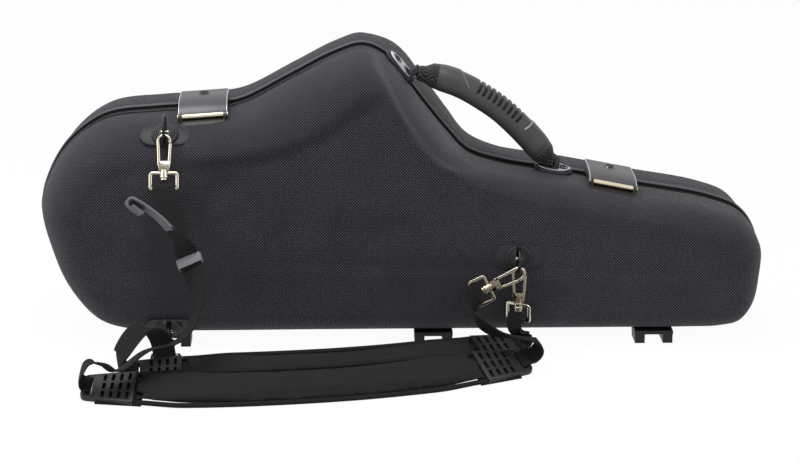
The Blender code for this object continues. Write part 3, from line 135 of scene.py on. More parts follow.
class Wiring:
    # The nodes of a material or of the room, all made by one method
    def __init__(self, tree):
        self.tree = tree

    def node(self, kind, settings=None, values=None, out=0):
        made = self.tree.nodes.new(kind)
        for key, value in (settings or {}).items():
            setattr(made, key, value)
        for key, value in (values or {}).items():
            if isinstance(value, Wire):
                self.tree.links.new(value.socket, made.inputs[key])
            else:
                made.inputs[key].default_value = value
        return Wire(self, made.outputs[out])

    def seenDirectly(self):
        # 1 where the camera looks, also through metal's gloss or through glass
        outs = self.node("ShaderNodeLightPath").socket.node.outputs
        rays = ("Is Camera Ray", "Is Glossy Ray", "Is Transmission Ray")
        camera, glossy, passing = [Wire(self, outs[ray]) for ray in rays]
        return camera + glossy + passing


class Look(Wiring):
    # A material with its Principled shader, built from expressions
    def __init__(self, name, roughness=0.5, metallic=0.0):
        self.material = bpy.data.materials.new(name)
        self.material.use_nodes = True
        super().__init__(self.material.node_tree)
        self.shader = self.tree.nodes["Principled BSDF"]
        self.fix({"Roughness": roughness, "Metallic": metallic})

    def place(self):
        return self.node("ShaderNodeTexCoord", out=3)

    def drawn(self):
        # Along and across the cloth, in metres, and a third value that some looks read as painted shade and
        # painted highlight, kept on the mesh's own points
        return self.node("ShaderNodeAttribute", {"attribute_name": "cloth"}, out=1)

    def speckle(self, size, detail=2.0, at=None):
        values = {0: at or self.place(), "Scale": 1 / size, "Detail": detail}
        return self.node("ShaderNodeTexNoise", {}, values)

    def scaled(self, vector, factors):
        return self.node("ShaderNodeVectorMath", {"operation": "MULTIPLY"}, {0: vector, 1: factors})

    def mix(self, factor, low, high):
        return self.node("ShaderNodeMix", {"data_type": "RGBA"}, {0: factor, 6: low, 7: high}, out=2)

    def feed(self, name, wire):
        self.tree.links.new(wire.socket, self.shader.inputs[name])

    def fix(self, levels):
        for name, level in levels.items():
            self.shader.inputs[name].default_value = level

    def finished(self, color, height, distance, roughness=None, levels=()):
        # Color and relief over the surface, its roughness where that varies, and the plain levels
        self.feed("Base Color", color)
        values = {"Height": height, "Distance": distance, "Strength": 1.0}
        self.feed("Normal", self.node("ShaderNodeBump", {}, values))
        if roughness:
            self.feed("Roughness", roughness)
        self.fix(dict(levels))
        return self.material


def shade(tone, share=1.0, lift=0.0):
    # A color as it looks on a screen, 0 to 255, made darker or lighter and turned into light
    spread = [min(255, level * share + lift) / 255 for level in tone]
    return (*[v / 12.92 if v < 0.04 else ((v + 0.055) / 1.055) ** 2.4 for v in spread], 1.0)


def yarns(along, across, pitch):
    # Plain weave: positive where the yarns along lie on top, negative where those across do
    return (along * (math.pi / pitch)).wave() * (across * (math.pi / pitch)).wave()


def wovenLook(name, dark, light, pitch, roughness, blotch=0.25):
    look = Look(name, roughness)
    along, across, paintedLight = look.drawn().parts()
    over = yarns(along, across, pitch)
    yarn = over.between(-0.15, 0.85)
    patch = look.speckle(45 * mm, 3)
    worn = look.speckle(3 * mm)
    # Painted light: the cloth is painted light where the yarns along lie on top, as their sheen, and dark between
    # and under them, as their shade; patch and worn vary the tone at random
    tone = yarn * 0.75 + patch * blotch + worn * 0.2 - (blotch + 0.2) / 2
    woven = look.mix(tone, shade(dark), shade(light))
    # Painted light from the third value: above 0 the cloth is painted in shade, where no light reaches it, and
    # below 0 it gets a painted highlight
    wearAndPaintedLight = look.mix((0 - paintedLight) * 0.6, woven, shade(light, 1.05, 4))
    color = look.mix(paintedLight, wearAndPaintedLight, shade((7, 7, 9)))
    height = abs(over) ** 0.6 * (0.7 + yarn * 0.3) + look.speckle(0.35 * mm) * 0.25
    levels = {"Sheen Weight": 0.08, "Sheen Roughness": 0.4, "Specular IOR Level": 0.2}
    return look.finished(color, height, 0.4 * mm, roughness + 0.12 * worn - 0.1 * yarn, levels)


def webbingLook(name, dark, light, rib, step):
    look = Look(name, 0.75)
    along, across, _ = look.drawn().parts()
    slant = (across * (math.pi / step)).wave() * 0.35
    ribs = (along * (math.tau / rib) + slant * 3).wave()
    warp = abs((across * (math.pi / step)).wave())
    height = (ribs * 0.5 + 0.5) * (0.4 + warp * 0.6)
    dust = look.speckle(6 * mm, 3)
    # Painted shade: the webbing is painted darker in the hollows between its ribs and lighter on their tops
    color = look.mix(height * 0.8 + dust * 0.35 - 0.15, shade(dark), shade(light))
    fuzz = look.speckle(0.3 * mm) * 0.3
    return look.finished(color, height + fuzz, 0.35 * mm, levels={"Specular IOR Level": 0.15})


def mouldedLook(name, tone, roughness, coat=0.0, gloss=0.2):
    look = Look(name, roughness)
    fine = look.speckle(0.5 * mm)
    broad = look.speckle(18 * mm, 3)
    color = look.mix(broad * 0.8 + fine * 0.3 - 0.05, shade(tone, 0.86), shade(tone, 1.18, 3))
    levels = {"Specular IOR Level": gloss, "Coat Weight": coat, "Coat Roughness": 0.3}
    return look.finished(color, fine, 0.05 * mm, roughness - 0.06 + 0.14 * broad, levels)


def metalLook(name, tone, roughness, metallic=1.0, brush=None, facingShade=None):
    look = Look(name, roughness, metallic)
    smudge = look.speckle(5 * mm, 4)
    polished = look.mix(smudge, shade(tone, 0.88), shade(tone))
    if facingShade:
        # Painted shade: faces turned along Y, mostly the broad ones, are painted darker than the narrow ones, in
        # place of their darker reflections
        facing = abs(look.node("ShaderNodeNewGeometry", out=1).parts()[1])
        polished = look.mix(facing.between(0.8, 0.99), polished, shade(facingShade))
    lines = look.speckle(1.0, 3, look.scaled(look.place(), brush or (160.0, 160.0, 160.0)))
    depth = (0.015 if brush else 0.004) * mm
    return look.finished(polished, lines, depth, roughness - 0.05 + 0.12 * smudge + 0.06 * lines)


def gripLook(name, tone):
    # Moulded rubber, with painted shade inside its grooves and a painted highlight along their edges
    look = Look(name)
    deep = look.drawn().parts()[2]
    fine = look.speckle(0.7 * mm)
    wearAndPaintedLight = look.speckle(11 * mm, 3)
    plain = look.mix(wearAndPaintedLight * 0.8 + fine * 0.3 - 0.05, shade(tone, 0.8), shade(tone))
    sunk = look.mix(deep.between(0.25, 0.9), plain, shade((6, 6, 7)))
    color = look.mix((0 - deep).between(0.2, 0.9), sunk, shade((150, 150, 153)))
    return look.finished(color, fine, 0.07 * mm, 0.44 + 0.14 * wearAndPaintedLight, {"Specular IOR Level": 0.3})


def plushLook(name, tone):
    look = Look(name, 0.95)
    nap = look.speckle(0.9 * mm, 4)
    brushed = look.speckle(14 * mm, 3)
    color = look.mix(nap * 0.6 + brushed * 0.5 - 0.05, shade(tone, 0.6), shade(tone))
    return look.finished(color, nap + brushed * 0.8, 0.6 * mm, levels={"Sheen Weight": 0.4})


def padLook(name, tone):
    look = Look(name, 0.82)
    along, across, _ = look.drawn().parts()
    over = yarns(along, across, 0.7 * mm)
    crease = look.speckle(9 * mm, 4)
    color = look.mix(over * 0.2 + crease * 0.9, shade(tone, 0.7), shade(tone))
    height = abs(over) * 0.12 + crease
    return look.finished(color, height, 0.8 * mm, levels={"Specular IOR Level": 0.12})


looks = {
    "shell": wovenLook("caseCloth", (5, 5, 8), (88, 86, 97), 1.3 * mm, 0.62),
    "bead": mouldedLook("beadRubber", (58, 57, 63), 0.42, coat=0.1),
    "valance": mouldedLook("valanceRubberAndShadeBand", (9, 9, 10), 0.6),
    "plush": plushLook("liningPlush", (58, 58, 62)),
    "hinge": mouldedLook("hingePlastic", (34, 34, 36), 0.45),
    "latch": metalLook("latchCoat", (80, 80, 84), 0.38, 0.75, brush=(60.0, 2500.0, 2500.0)),
    "latchBase": metalLook("latchBase", (60, 58, 54), 0.42, 0.8),
    "bright": metalLook("nickel", (232, 223, 206), 0.14, facingShade=(122, 114, 100)),
    "edge": metalLook("brightEdge", (212, 212, 214), 0.22),
    "ringWire": metalLook("blackWire", (46, 46, 48), 0.26, 0.85),
    "bracket": metalLook("bracketPlate", (176, 177, 182), 0.3),
    "boss": mouldedLook("anchorRubber", (34, 34, 37), 0.42),
    "grip": gripLook("gripRubber", (64, 64, 66)),
    "webbing": webbingLook("strapWebbing", (10, 10, 10), (40, 40, 40), 1.9 * mm, 1.6 * mm),
    "weaveStub": wovenLook("handleWebbing", (4, 4, 5), (88, 87, 88), 1.6 * mm, 0.6, 0.1),
    "pad": padLook("padCloth", (36, 36, 36)),
    "binding": webbingLook("padBinding", (10, 10, 10), (34, 34, 34), 1.2 * mm, 1.0 * mm),
    "fitting": mouldedLook("fittingPlastic", (31, 31, 33), 0.4, gloss=0.3),
    "tip": mouldedLook("tailTipPlastic", (92, 93, 96), 0.36),
    "gold": metalLook("paleGold", (226, 214, 190), 0.18),
    "buckle": mouldedLook("bucklePlastic", (104, 105, 108), 0.45),
    # Near-black, as painted shade inside the keyway and the brackets' ring grooves
    "hollow": mouldedLook("keyHollow", (8, 8, 8), 0.7),
}
print("looks made", len(looks))


def ease(share):
    t = min(1.0, max(0.0, share))
    return t * t * (3 - 2 * t)


def fadedEnds(share, start, end):
    return ease(share / start) * ease((1 - share) / end)


def spline(controls, steps, closed=False):
    # A centripetal curve through the controls, with steps points on each span
    points = [Vector(c) for c in controls]
    count = len(points)
    if not closed:
        points = [2 * points[0] - points[1], *points, 2 * points[-1] - points[-2]]
    made = []
    for i in range(count) if closed else range(1, count):
        p = [points[(i + k) % len(points)] for k in (-1, 0, 1, 2)]
        knots = [0.0]
        for a, b in zip(p, p[1:]):
            # A control of the seam holds x, z and two sizes, so only the first two count as places
            run = (b.xy - a.xy).length if len(a) != 3 else (b - a).length
            knots.append(knots[-1] + math.sqrt(run))
        t0, t1, t2, t3 = knots
        m1 = (t2 - t1) * ((p[1] - p[0]) / (t1 - t0) - (p[2] - p[0]) / (t2 - t0) + (p[2] - p[1]) / (t2 - t1))
        m2 = (t2 - t1) * ((p[2] - p[1]) / (t2 - t1) - (p[3] - p[1]) / (t3 - t1) + (p[3] - p[2]) / (t3 - t2))
        for k in range(steps):
            t = k / steps
            a, b = 2 * t**3 - 3 * t**2 + 1, t**3 - 2 * t**2 + t
            made.append(p[1] * a + m1 * b + p[2] * (1 - a) + m2 * (t**3 - t**2))
    if not closed:
        made.append(points[-2])
    return made


def headings(points, looped=False):
    last = len(points) - 1
    made = []
    for i in range(last + 1):
        after = points[(i + 1) % (last + 1)] if looped else points[min(i + 1, last)]
        before = points[i - 1] if looped else points[max(i - 1, 0)]
        made.append((after - before).normalized())
    return made


def runsOf(points):
    # How far along its line each point lies
    runs = [0.0]
    for a, b in zip(points, points[1:]):
        runs.append(runs[-1] + (b - a).length)
    return runs


def around(count):
    return [math.tau * k / count for k in range(count)]


def arc(radius, start, end, steps):
    turns = [math.radians(start + (end - start) * i / steps) for i in range(steps + 1)]
    return [(radius * math.cos(t), radius * math.sin(t)) for t in turns]


def lofted(rings, looped=False, cloth=None):
    # Skin through rings of equally many points; cloth gives each point its place on the cloth
    bm = bmesh.new()
    layer = bm.verts.layers.float_vector.new("cloth")
    rows = []
    for r, ring in enumerate(rings):
        row = [bm.verts.new(point) for point in ring]
        if cloth:
            for k, vert in enumerate(row):
                vert[layer] = (*cloth[r][k], 0)[:3]
        rows.append(row)
    pairs = list(zip(rows, rows[1:]))
    if looped:
        pairs.append((rows[-1], rows[0]))
    for low, high in pairs:
        for i in range(len(low)):
            j = (i + 1) % len(low)
            bm.faces.new((low[i], low[j], high[j], high[i]))
    if not looped:
        bm.faces.new(rows[0])
        bm.faces.new(rows[-1])
    return bm


def dress(made, look, body, replaced, angle):
    made.data.materials.clear()
    made.data.materials.append(looks[look])
    made.data.shade_smooth()
    made.data.set_sharp_from_angle(angle=math.radians(angle))
    if body:
        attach(made, body)
    if replaced:
        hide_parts(*replaced)
    return made


def meshOf(name, bm):
    mesh = bpy.data.meshes.new(name)
    bm.to_mesh(mesh)
    bm.free()
    return mesh


def piece(name, bm, look, body, replaced=(), angle=40, move=None):
    bmesh.ops.recalc_face_normals(bm, faces=bm.faces)
    if move is not None:
        bm.transform(move)
    return dress(shown(name, meshOf(name, bm)), look, body, replaced, angle)


def standIn(name, bm, look, node, angle=40, move=None):
    # A piece in the place of a CAD node, on the node's body
    return piece(name, bm, look, bodyOf[node], (node,), angle, move)


def added(name, bm, look, node, angle=40, move=None):
    # A piece that only rides with a CAD node
    return piece(name, bm, look, bodyOf[node], (), angle, move)


def applied(made, kind, **settings):
    # Adds a modifier, applies it and drops it
    change = made.modifiers.new(kind, kind)
    for key, value in settings.items():
        setattr(change, key, value)
    bpy.context.view_layer.update()
    graph = bpy.context.evaluated_depsgraph_get()
    old, made.data = made.data, bpy.data.meshes.new_from_object(made.evaluated_get(graph))
    made.modifiers.clear()
    bpy.data.meshes.remove(old)
    return made


def joined(parts):
    whole = bmesh.new()
    for part in parts:
        mesh = meshOf("part", part)
        whole.from_mesh(mesh)
        bpy.data.meshes.remove(mesh)
    return whole


def carved(bm, cutter):
    # One form less another
    pair = []
    for form in (bm, cutter):
        bmesh.ops.recalc_face_normals(form, faces=form.faces)
        pair.append(shown("form", meshOf("form", form)))
    applied(pair[0], "BOOLEAN", object=pair[1], operation="DIFFERENCE", solver="EXACT")
    left = bmesh.new()
    left.from_mesh(pair[0].data)
    for made in pair:
        mesh = made.data
        bpy.data.objects.remove(made, do_unlink=True)
        bpy.data.meshes.remove(mesh)
    return left


def tube(points, radius, sides=10, looped=False):
    points = [Vector(p) for p in points]
    rings = []
    side = None
    for here, along in zip(points, headings(points, looped)):
        if side is None:
            side = along.orthogonal().normalized()
        side = (side - along * side.dot(along)).normalized()
        other = along.cross(side)
        wide, high = side * radius, other * radius
        rings.append([here + wide * math.cos(t) + high * math.sin(t) for t in around(sides)])
    return lofted(rings, looped=looped)


def swept(path, section, looped=False):
    # A section carried along a path in XZ: its x in the path's plane, its y along Y
    depth = Vector((0, 1, 0))
    path = [Vector(p) for p in path]
    rings = []
    for here, along in zip(path, headings(path, looped)):
        out = along.cross(depth)
        rings.append([here + out * p.x + depth * p.y for p in section])
    return lofted(rings, looped=looped)


def shrunk(outline, inset):
    # A closed outline, anticlockwise, moved inwards
    points = [Vector(p) for p in outline]
    made = []
    for i, here in enumerate(points):
        before = (here - points[i - 1]).normalized()
        after = (points[(i + 1) % len(points)] - here).normalized()
        normal = Vector((-before.y - after.y, before.x + after.x)).normalized()
        spread = max(0.5, normal.dot(Vector((-after.y, after.x))))
        made.append(here + normal * inset / spread)
    return made


def plate(outline, low, high, bevel):
    # A flat piece with softened edges, its outline in XY
    levels = ((low, bevel), (low + bevel * 0.3, bevel * 0.3), (low + bevel, 0))
    levels += ((high - bevel, 0), (high - bevel * 0.3, bevel * 0.3), (high, bevel))
    return lofted([[(p.x, p.y, z) for p in shrunk(outline, inset)] for z, inset in levels])


def lathe(profile, sides=32):
    return lofted([[(r * math.cos(t), r * math.sin(t), z) for t in around(sides)] for z, r in profile])


def stadium(length, width, steps=14):
    reach = length / 2 - width / 2
    right = [(reach + x, y) for x, y in arc(width / 2, -90, 90, steps)]
    return right + [(-reach + x, y) for x, y in arc(width / 2, 90, 270, steps)]


def roundedBox(width, height, radius):
    made = []
    for k, (sx, sy) in enumerate(((1, 1), (-1, 1), (-1, -1), (1, -1))):
        corner = Vector((sx * (width / 2 - radius), sy * (height / 2 - radius)))
        made += [corner + Vector(p) for p in arc(radius, 90 * k, 90 * k + 90, 3)]
    return made


def oval(width, height, sides, power=2 / 2.8):
    made = []
    for k in range(sides):
        t = math.tau * (k + 0.5) / sides
        c, s = math.cos(t), math.sin(t)
        x = math.copysign(abs(c) ** power, c) * width / 2
        made.append(Vector((x, math.copysign(abs(s) ** power, s) * height / 2)))
    return made


upright = Matrix.Rotation(math.pi / 2, 4, "X")  # turns a plate's XY outline up into XZ


def sideways(x):
    # Turns a plate's XY outline into YZ, at x
    return Matrix(((0, 0, 1, x), (1, 0, 0, 0), (0, 1, 0, 0), (0, 0, 0, 1)))


shellSizes = {
    "length": 660 * mm,
    "height": 257 * mm,
    "underside": 12 * mm,
    "depths": (76 * mm, 83 * mm),
    "draft": 1.5 * mm,
    "edgeRun": 40 * mm,
    "wallRun": 50 * mm,
    "backEdgeRun": 22 * mm,
    "backWallRun": 60 * mm,
    "flare": {"width": 8.5 * mm, "above": 100 * mm, "start": -0.05, "rise": 0.06, "end": 0.15, "fall": 0.12},
    "cove": {"depth": 11 * mm, "run": 20 * mm, "start": 24 * mm, "reach": 40 * mm, "paintedHighlight": 0.6},
    "crest": {"width": 2.7 * mm, "height": 1.3 * mm, "paintedHighlight": 0.5},
    "ridgeFade": (0.15, 0.3),
    "crease": {"start": 38 * mm, "reach": 26 * mm, "run": 30 * mm, "fade": (0.18, 0.18)},
    "litBelow": 0.2,
    "wall": 4 * mm,
    "grid": 3.8 * mm,
    "valance": 4.7 * mm,
    "bead": 6.3 * mm,
    "turns": (22, 10),
}
# How far the front and the back swell, and over what reach
swelling = {"face": (3 * mm, 60 * mm), "bell": (4 * mm, 95 * mm), "waves": (0.25 * mm, 14), "rim": 16 * mm}

# x as a share of the length, z as a share of the height, edge run and straight wall as shares
outlineShares = (
    (-0.372, 0.006, 0.55, 1.00),
    (-0.421, 0.039, 0.75, 0.90),
    (-0.464, 0.148, 0.90, 0.60),
    (-0.489, 0.296, 0.95, 0.45),
    (-0.500, 0.436, 0.95, 0.40),
    (-0.488, 0.545, 0.95, 0.40),
    (-0.459, 0.661, 0.95, 0.40),
    (-0.409, 0.751, 1.00, 0.36),
    (-0.336, 0.776, 1.00, 0.36),
    (-0.261, 0.786, 1.00, 0.36),
    (-0.220, 0.804, 1.05, 0.36),
    (-0.152, 0.893, 1.15, 0.36),
    (-0.091, 0.973, 1.00, 0.40),
    (-0.053, 1.000, 0.80, 0.45),
    (-0.018, 0.957, 0.60, 0.60),
    (0.026, 0.809, 0.40, 0.90),
    (0.061, 0.697, 0.35, 1.00),
    (0.091, 0.617, 0.35, 1.00),
    (0.136, 0.576, 0.40, 1.00),
    (0.227, 0.537, 0.50, 0.90),
    (0.326, 0.488, 0.60, 0.80),
    (0.429, 0.438, 0.65, 0.80),
    (0.474, 0.389, 0.65, 0.80),
    (0.498, 0.296, 0.65, 0.80),
    (0.498, 0.187, 0.65, 0.80),
    (0.489, 0.086, 0.60, 0.90),
    (0.469, 0.024, 0.55, 1.00),
    (0.440, 0.004, 0.55, 1.00),
    (0.395, 0.000, 0.55, 1.00),
    (0.300, 0.000, 0.55, 1.00),
    (0.100, 0.000, 0.55, 1.00),
    (-0.120, 0.000, 0.55, 1.00),
    (-0.315, 0.000, 0.55, 1.00),
)


def onFront(x, z):
    return Vector((x * shellSizes["length"], shellSizes["underside"] + z * shellSizes["height"]))


def seenFront(place):
    return Vector((place.x, place.z))


class Edge:
    # One place on the seam's outline, with its way inwards and the sizes of its rounding
    def __init__(self, point, inward, drawn, run, wall):
        self.point, self.inward, self.drawn, self.run, self.wall = point, inward, drawn, run, wall

    def on(self, inset, depth):
        across = self.point + self.drawn * inset
        return Vector((across.x, depth, across.y))

    def sizes(self, side):
        s = shellSizes
        if side < 0:
            return self.run * s["edgeRun"], self.wall * s["wallRun"], s["depths"][0]
        return s["backEdgeRun"], s["backWallRun"], s["depths"][1]

    def flared(self):
        # The lid widens behind the handle
        flare = shellSizes["flare"]
        share = self.point.x / shellSizes["length"] if self.point.y > flare["above"] else -1
        rise = ease((share - flare["start"]) / flare["rise"])
        return flare["width"] * rise * ease((flare["end"] - share) / flare["fall"])

    def turned(self, side, offset, turn):
        # turn goes from 0 on the wall to 1 on the face
        angle = turn * math.pi / 2
        run, straight, full = self.sizes(side)
        full -= offset
        inset = offset + shellSizes["draft"] + run * (1 - math.cos(angle))
        if side > 0:
            inset -= self.flared() * math.cos(angle)
        return self.on(inset, side * (straight + (full - straight) * math.sin(angle)))

    def facing(self, side, turn):
        angle = turn * math.pi / 2
        run, straight, full = self.sizes(side)
        out = -self.inward * math.cos(angle) / run
        return Vector((out.x, side * math.sin(angle) / (full - straight), out.y)).normalized()


def seamEdges(steps):
    controls = [(*onFront(x, z), run, wall) for x, z, run, wall in outlineShares]
    samples = spline(controls, steps, closed=True)
    count = len(samples)
    normals = [Vector((along.y, -along.x)) for along in headings([p.xy for p in samples], looped=True)]
    reach = 4 * steps // 3
    made = []
    for i, here in enumerate(samples):
        near = [normals[(i + k) % count] for k in range(-reach, reach + 1)]
        drawn = sum(near, Vector((0, 0))).normalized()
        made.append(Edge(here.xy, normals[i], drawn, here[2], here[3]))
    return made


edges = seamEdges(9)


def edgeAt(share, upper=True):
    x = share * shellSizes["length"]
    for a, b in zip(edges, edges[1:] + edges[:1]):
        rising = b.point.x > a.point.x
        if rising == upper and min(a.point.x, b.point.x) <= x <= max(a.point.x, b.point.x):
            t = (x - a.point.x) / (b.point.x - a.point.x)
            blended = [a.inward.lerp(b.inward, t).normalized(), a.drawn.lerp(b.drawn, t).normalized()]
            return Edge(a.point.lerp(b.point, t), *blended, a.run + (b.run - a.run) * t, a.wall)
    raise ValueError("no such place on the outline")


# Soft creases moulded into the front, each a line in shares with the sizes of its groove and step
creases = (
    {
        "line": (
            (-0.36, 0.612), (-0.268, 0.625), (-0.22, 0.635), (-0.191, 0.645), (-0.16, 0.663), (-0.126, 0.697),
            (-0.092, 0.75), (-0.069, 0.792), (-0.052, 0.82), (-0.035, 0.848), (-0.015, 0.87),
        ),
        "groove": 2.4 * mm,
        "step": 3.2 * mm,
        "width": 6 * mm,
    },
    {
        "line": (
            (-0.276, 0.294), (-0.114, 0.264), (0.055, 0.246), (0.163, 0.248), (0.296, 0.231), (0.40, 0.216),
            (0.432, 0.20), (0.445, 0.15), (0.451, 0.05),
        ),
        "groove": 1.0 * mm,
        "step": -1.5 * mm,
        "width": 4.5 * mm,
    },
    {
        "line": (
            (-0.385, 0.60), (-0.374, 0.51), (-0.37, 0.406), (-0.357, 0.34), (-0.331, 0.303), (-0.28, 0.293),
        ),
        "groove": 1.3 * mm,
        "step": 1.6 * mm,
        "width": 8 * mm,
    },
    {
        "line": ((-0.245, 0.66), (-0.255, 0.45), (-0.262, 0.25), (-0.262, -0.02)),
        "groove": 3 * mm,
        "step": 0,
        "width": 21 * mm,
    },
)
# Beyond this ridge the cloth dips towards the seam beside the hump
ridgeShares = (
    (-0.045, 1.0), (-0.036, 0.965), (-0.031, 0.946), (-0.021, 0.901), (-0.008, 0.835), (0.008, 0.763),
    (0.027, 0.692), (0.049, 0.631), (0.069, 0.603), (0.10, 0.585), (0.16, 0.565),
)
creaseLines = [(spline([onFront(*p) for p in crease["line"]], 5), crease) for crease in creases]
ridge = spline([onFront(*p) for p in ridgeShares], 4)
bellCentre = onFront(-0.345, 0.400)


def nearLine(point, line):
    # Signed distance to a line and how far along it, from 0 to 1
    best, side, share = math.inf, 1.0, 0.0
    for i, (a, b) in enumerate(zip(line, line[1:])):
        along = b - a
        t = min(1.0, max(0.0, (point - a).dot(along) / along.length_squared))
        off = point - a - along * t
        if off.length < best:
            best, share = off.length, (i + t) / (len(line) - 1)
            side = math.copysign(1.0, along.x * off.y - along.y * off.x)
    return best * side, share


def relief(point, rim, side):
    distance = min((point - a).length for a in rim)
    (face, faceReach), (bell, bellReach) = swelling["face"], swelling["bell"]
    waves, pitch = swelling["waves"]
    height = face * ease(distance / faceReach) + bell * ease(1 - (point - bellCentre).length / bellReach)
    height += waves * noise.noise(Vector((point.x, point.y, side)) * pitch)
    return height * ease(distance / swelling["rim"])


def moulding(point):
    height, run, fade = 0.0, shellSizes["crease"]["run"], shellSizes["crease"]["fade"]
    for line, crease in creaseLines:
        off, share = nearLine(point, line)
        if abs(off) > 2 * run:
            continue
        groove = math.exp(-((off / crease["width"]) ** 2))
        stepped = ease(off / (2 * crease["width"]) + 0.5) * ease(2 - abs(off) / run)
        height += fadedEnds(share, *fade) * (crease["step"] * stepped - crease["groove"] * groove)
    return height


def onCreased(depth):
    # 0 on the wall beside the seam, 1 on the face that carries the creases
    return ease((depth - shellSizes["crease"]["start"]) / shellSizes["crease"]["reach"])


def dip(point, depth):
    off, share = nearLine(point, ridge)
    if off < 0:
        return 0.0
    cove = shellSizes["cove"]
    faded = fadedEnds(share, *shellSizes["ridgeFade"]) * ease((depth - cove["start"]) / cove["reach"])
    return faded * cove["depth"] * ease(off / cove["run"] + 0.08)


def crest(point):
    # The raised line along the ridge, which also carries a painted highlight
    off, share = nearLine(point, ridge)
    shape = math.exp(-((off / shellSizes["crest"]["width"]) ** 2))
    return fadedEnds(share, *shellSizes["ridgeFade"]) * shape


# Inset, depth past the rim and painted shade of the cloth's edge, which on the front rolls in to the seam
lips = {
    -1: ((3.6, 0, 1), (3.1, 1.2, 1), (1.8, 4.0, 1), (0.8, 7.0, 0.8), (0.25, 10.5, 0.3), (0.1, 13, 0)),
    1: ((0.6, 0, 0.3), (0, 0.6, 0)),
}


def clothPlaces(rings, side, paintedLight):
    # The cloth is stretched from the face's edge over the wall
    cloth = [[(0, 0)] * len(edges) for _ in rings]
    for k, e in enumerate(edges):
        reach = 0.0
        base = e.turned(side, 0, 1)
        for r in range(len(rings) - 1, -1, -1):
            if r < len(rings) - 1:
                reach += (rings[r + 1][k] - rings[r][k]).length
            cloth[r][k] = (base.x - e.drawn.x * reach, base.z - e.drawn.y * reach, paintedLight[r])
    return cloth


def gridded(bm, face, rim):
    # Cuts the flat face into small squares
    geometry = [face, *face.edges, *face.verts]
    for axis in (0, 2):
        low, high = min(p[axis // 2] for p in rim), max(p[axis // 2] for p in rim)
        count = round((high - low) / shellSizes["grid"])
        for i in range(1, count):
            place, normal = Vector((0, 0, 0)), Vector((0, 0, 0))
            place[axis], normal[axis] = low + (high - low) * i / count, 1
            geometry = bmesh.ops.bisect_plane(bm, geom=geometry, plane_co=place, plane_no=normal)["geom"]
    faces = {g for g in geometry if isinstance(g, bmesh.types.BMFace)}
    return {v for f in faces for v in f.verts}


def mouldFront(bm, layer):
    line, cove = shellSizes["crest"], shellSizes["cove"]
    for vert in bm.verts:
        sight = onCreased(-vert.co.y)
        if sight > 0:
            vert.co.y -= sight * moulding(seenFront(vert.co))
    for vert in bm.verts:
        here = seenFront(vert.co)
        sunk, raised = dip(here, -vert.co.y), crest(here)
        # Painted highlight: in the dip beside the hump and along the crest, the third value drops below 0, which
        # paints the cloth lighter
        if vert[layer].z < shellSizes["litBelow"]:
            wearAndPaintedLight = vert[layer].z - cove["paintedHighlight"] * sunk / cove["depth"] - raised * line["paintedHighlight"]
            vert[layer] = (*vert[layer].xy, wearAndPaintedLight)
            vert.co.y -= raised * line["height"] * onCreased(-vert.co.y)
        vert.co.y += sunk


def shell(name, side, node):
    s = shellSizes
    rim, count = (s["valance"], s["turns"][0]) if side < 0 else (s["bead"], s["turns"][1])
    rings = [[e.turned(side, s["wall"], t) for e in edges] for t in (1, 0.6, 0.3, 0)]
    rings.append([e.on(s["wall"], side * rim) for e in edges])
    # The inner wall is painted in full shade
    paintedLight = [1] * len(rings)
    for inset, depth, dark in lips[side]:
        rings.append([e.on(inset * mm, side * (rim + depth * mm)) for e in edges])
        paintedLight.append(dark)
    for i in range(count + 1):
        rings.append([e.turned(side, 0, i / count) for e in edges])
        paintedLight.append(0)
    bm = lofted(rings, cloth=clothPlaces(rings, side, paintedLight))
    bm.faces.ensure_lookup_table()
    face = bm.faces[-1]
    layer = bm.verts.layers.float_vector["cloth"]
    rimPoints = [seenFront(vert.co) for vert in face.verts]
    for vert in gridded(bm, face, rimPoints):
        point = seenFront(vert.co)
        vert[layer] = (point.x, point.y, 0)
        vert.co.y += side * relief(point, rimPoints, side)
    if side < 0:
        mouldFront(bm, layer)
    standIn(name, bm, "shell", node, 50, toSeam)


shell("frontShell", -1, "front_shell")
shell("backShell", 1, "back_shell")
print("shells made")

# Sections about the seam, inset and depth in mm; the shade band closes the groove behind the front's lip, as a
# dark sheet of painted shade in front of the bead
beadRound = {"depth": 6 * mm, "proud": 1.6 * mm, "inner": 5.1 * mm, "gap": 0.3 * mm, "steps": 10}
shadeBandSection = ((-0.5, 0.5), (-0.5, 0.15), (5.0, 0.15), (5.0, 0.5))
valanceSection = (
    (2.2, 4.4), (1.8, 4.0), (1.8, 0.7), (2.2, 0.3), (5.4, 0.3),
    (5.4, -2.2), (5.8, -2.6), (6.6, -2.6), (7.0, -2.2), (7.0, 4.4),
)


def beadSection():
    s = beadRound
    run = s["depth"] - s["gap"]
    turns = [math.pi * i / s["steps"] for i in range(s["steps"] + 1)]
    made = [(-s["proud"] * math.sin(t), s["gap"] + run * (1 - math.cos(t)) / 2) for t in turns]
    return [*made, (s["inner"], s["depth"]), (s["inner"], s["gap"])]


def alongSeam(section, side):
    return lofted([[e.on(inset, side * depth) for e in edges] for inset, depth in section], looped=True)


standIn("seamBead", alongSeam(beadSection(), 1), "bead", "back_rim", 50, toSeam)
# Painted shade: a thin near-black ring on the lid, in front of the bead
shadeBand = alongSeam([(a * mm, b * mm) for a, b in shadeBandSection], 1)
added("seamShadeBand", shadeBand, "valance", "back_rim", 50, toSeam)
valance = alongSeam([(a * mm, b * mm) for a, b in valanceSection], -1)
standIn("seamValance", valance, "valance", "front_rim", 50, toSeam)
print("rims made")


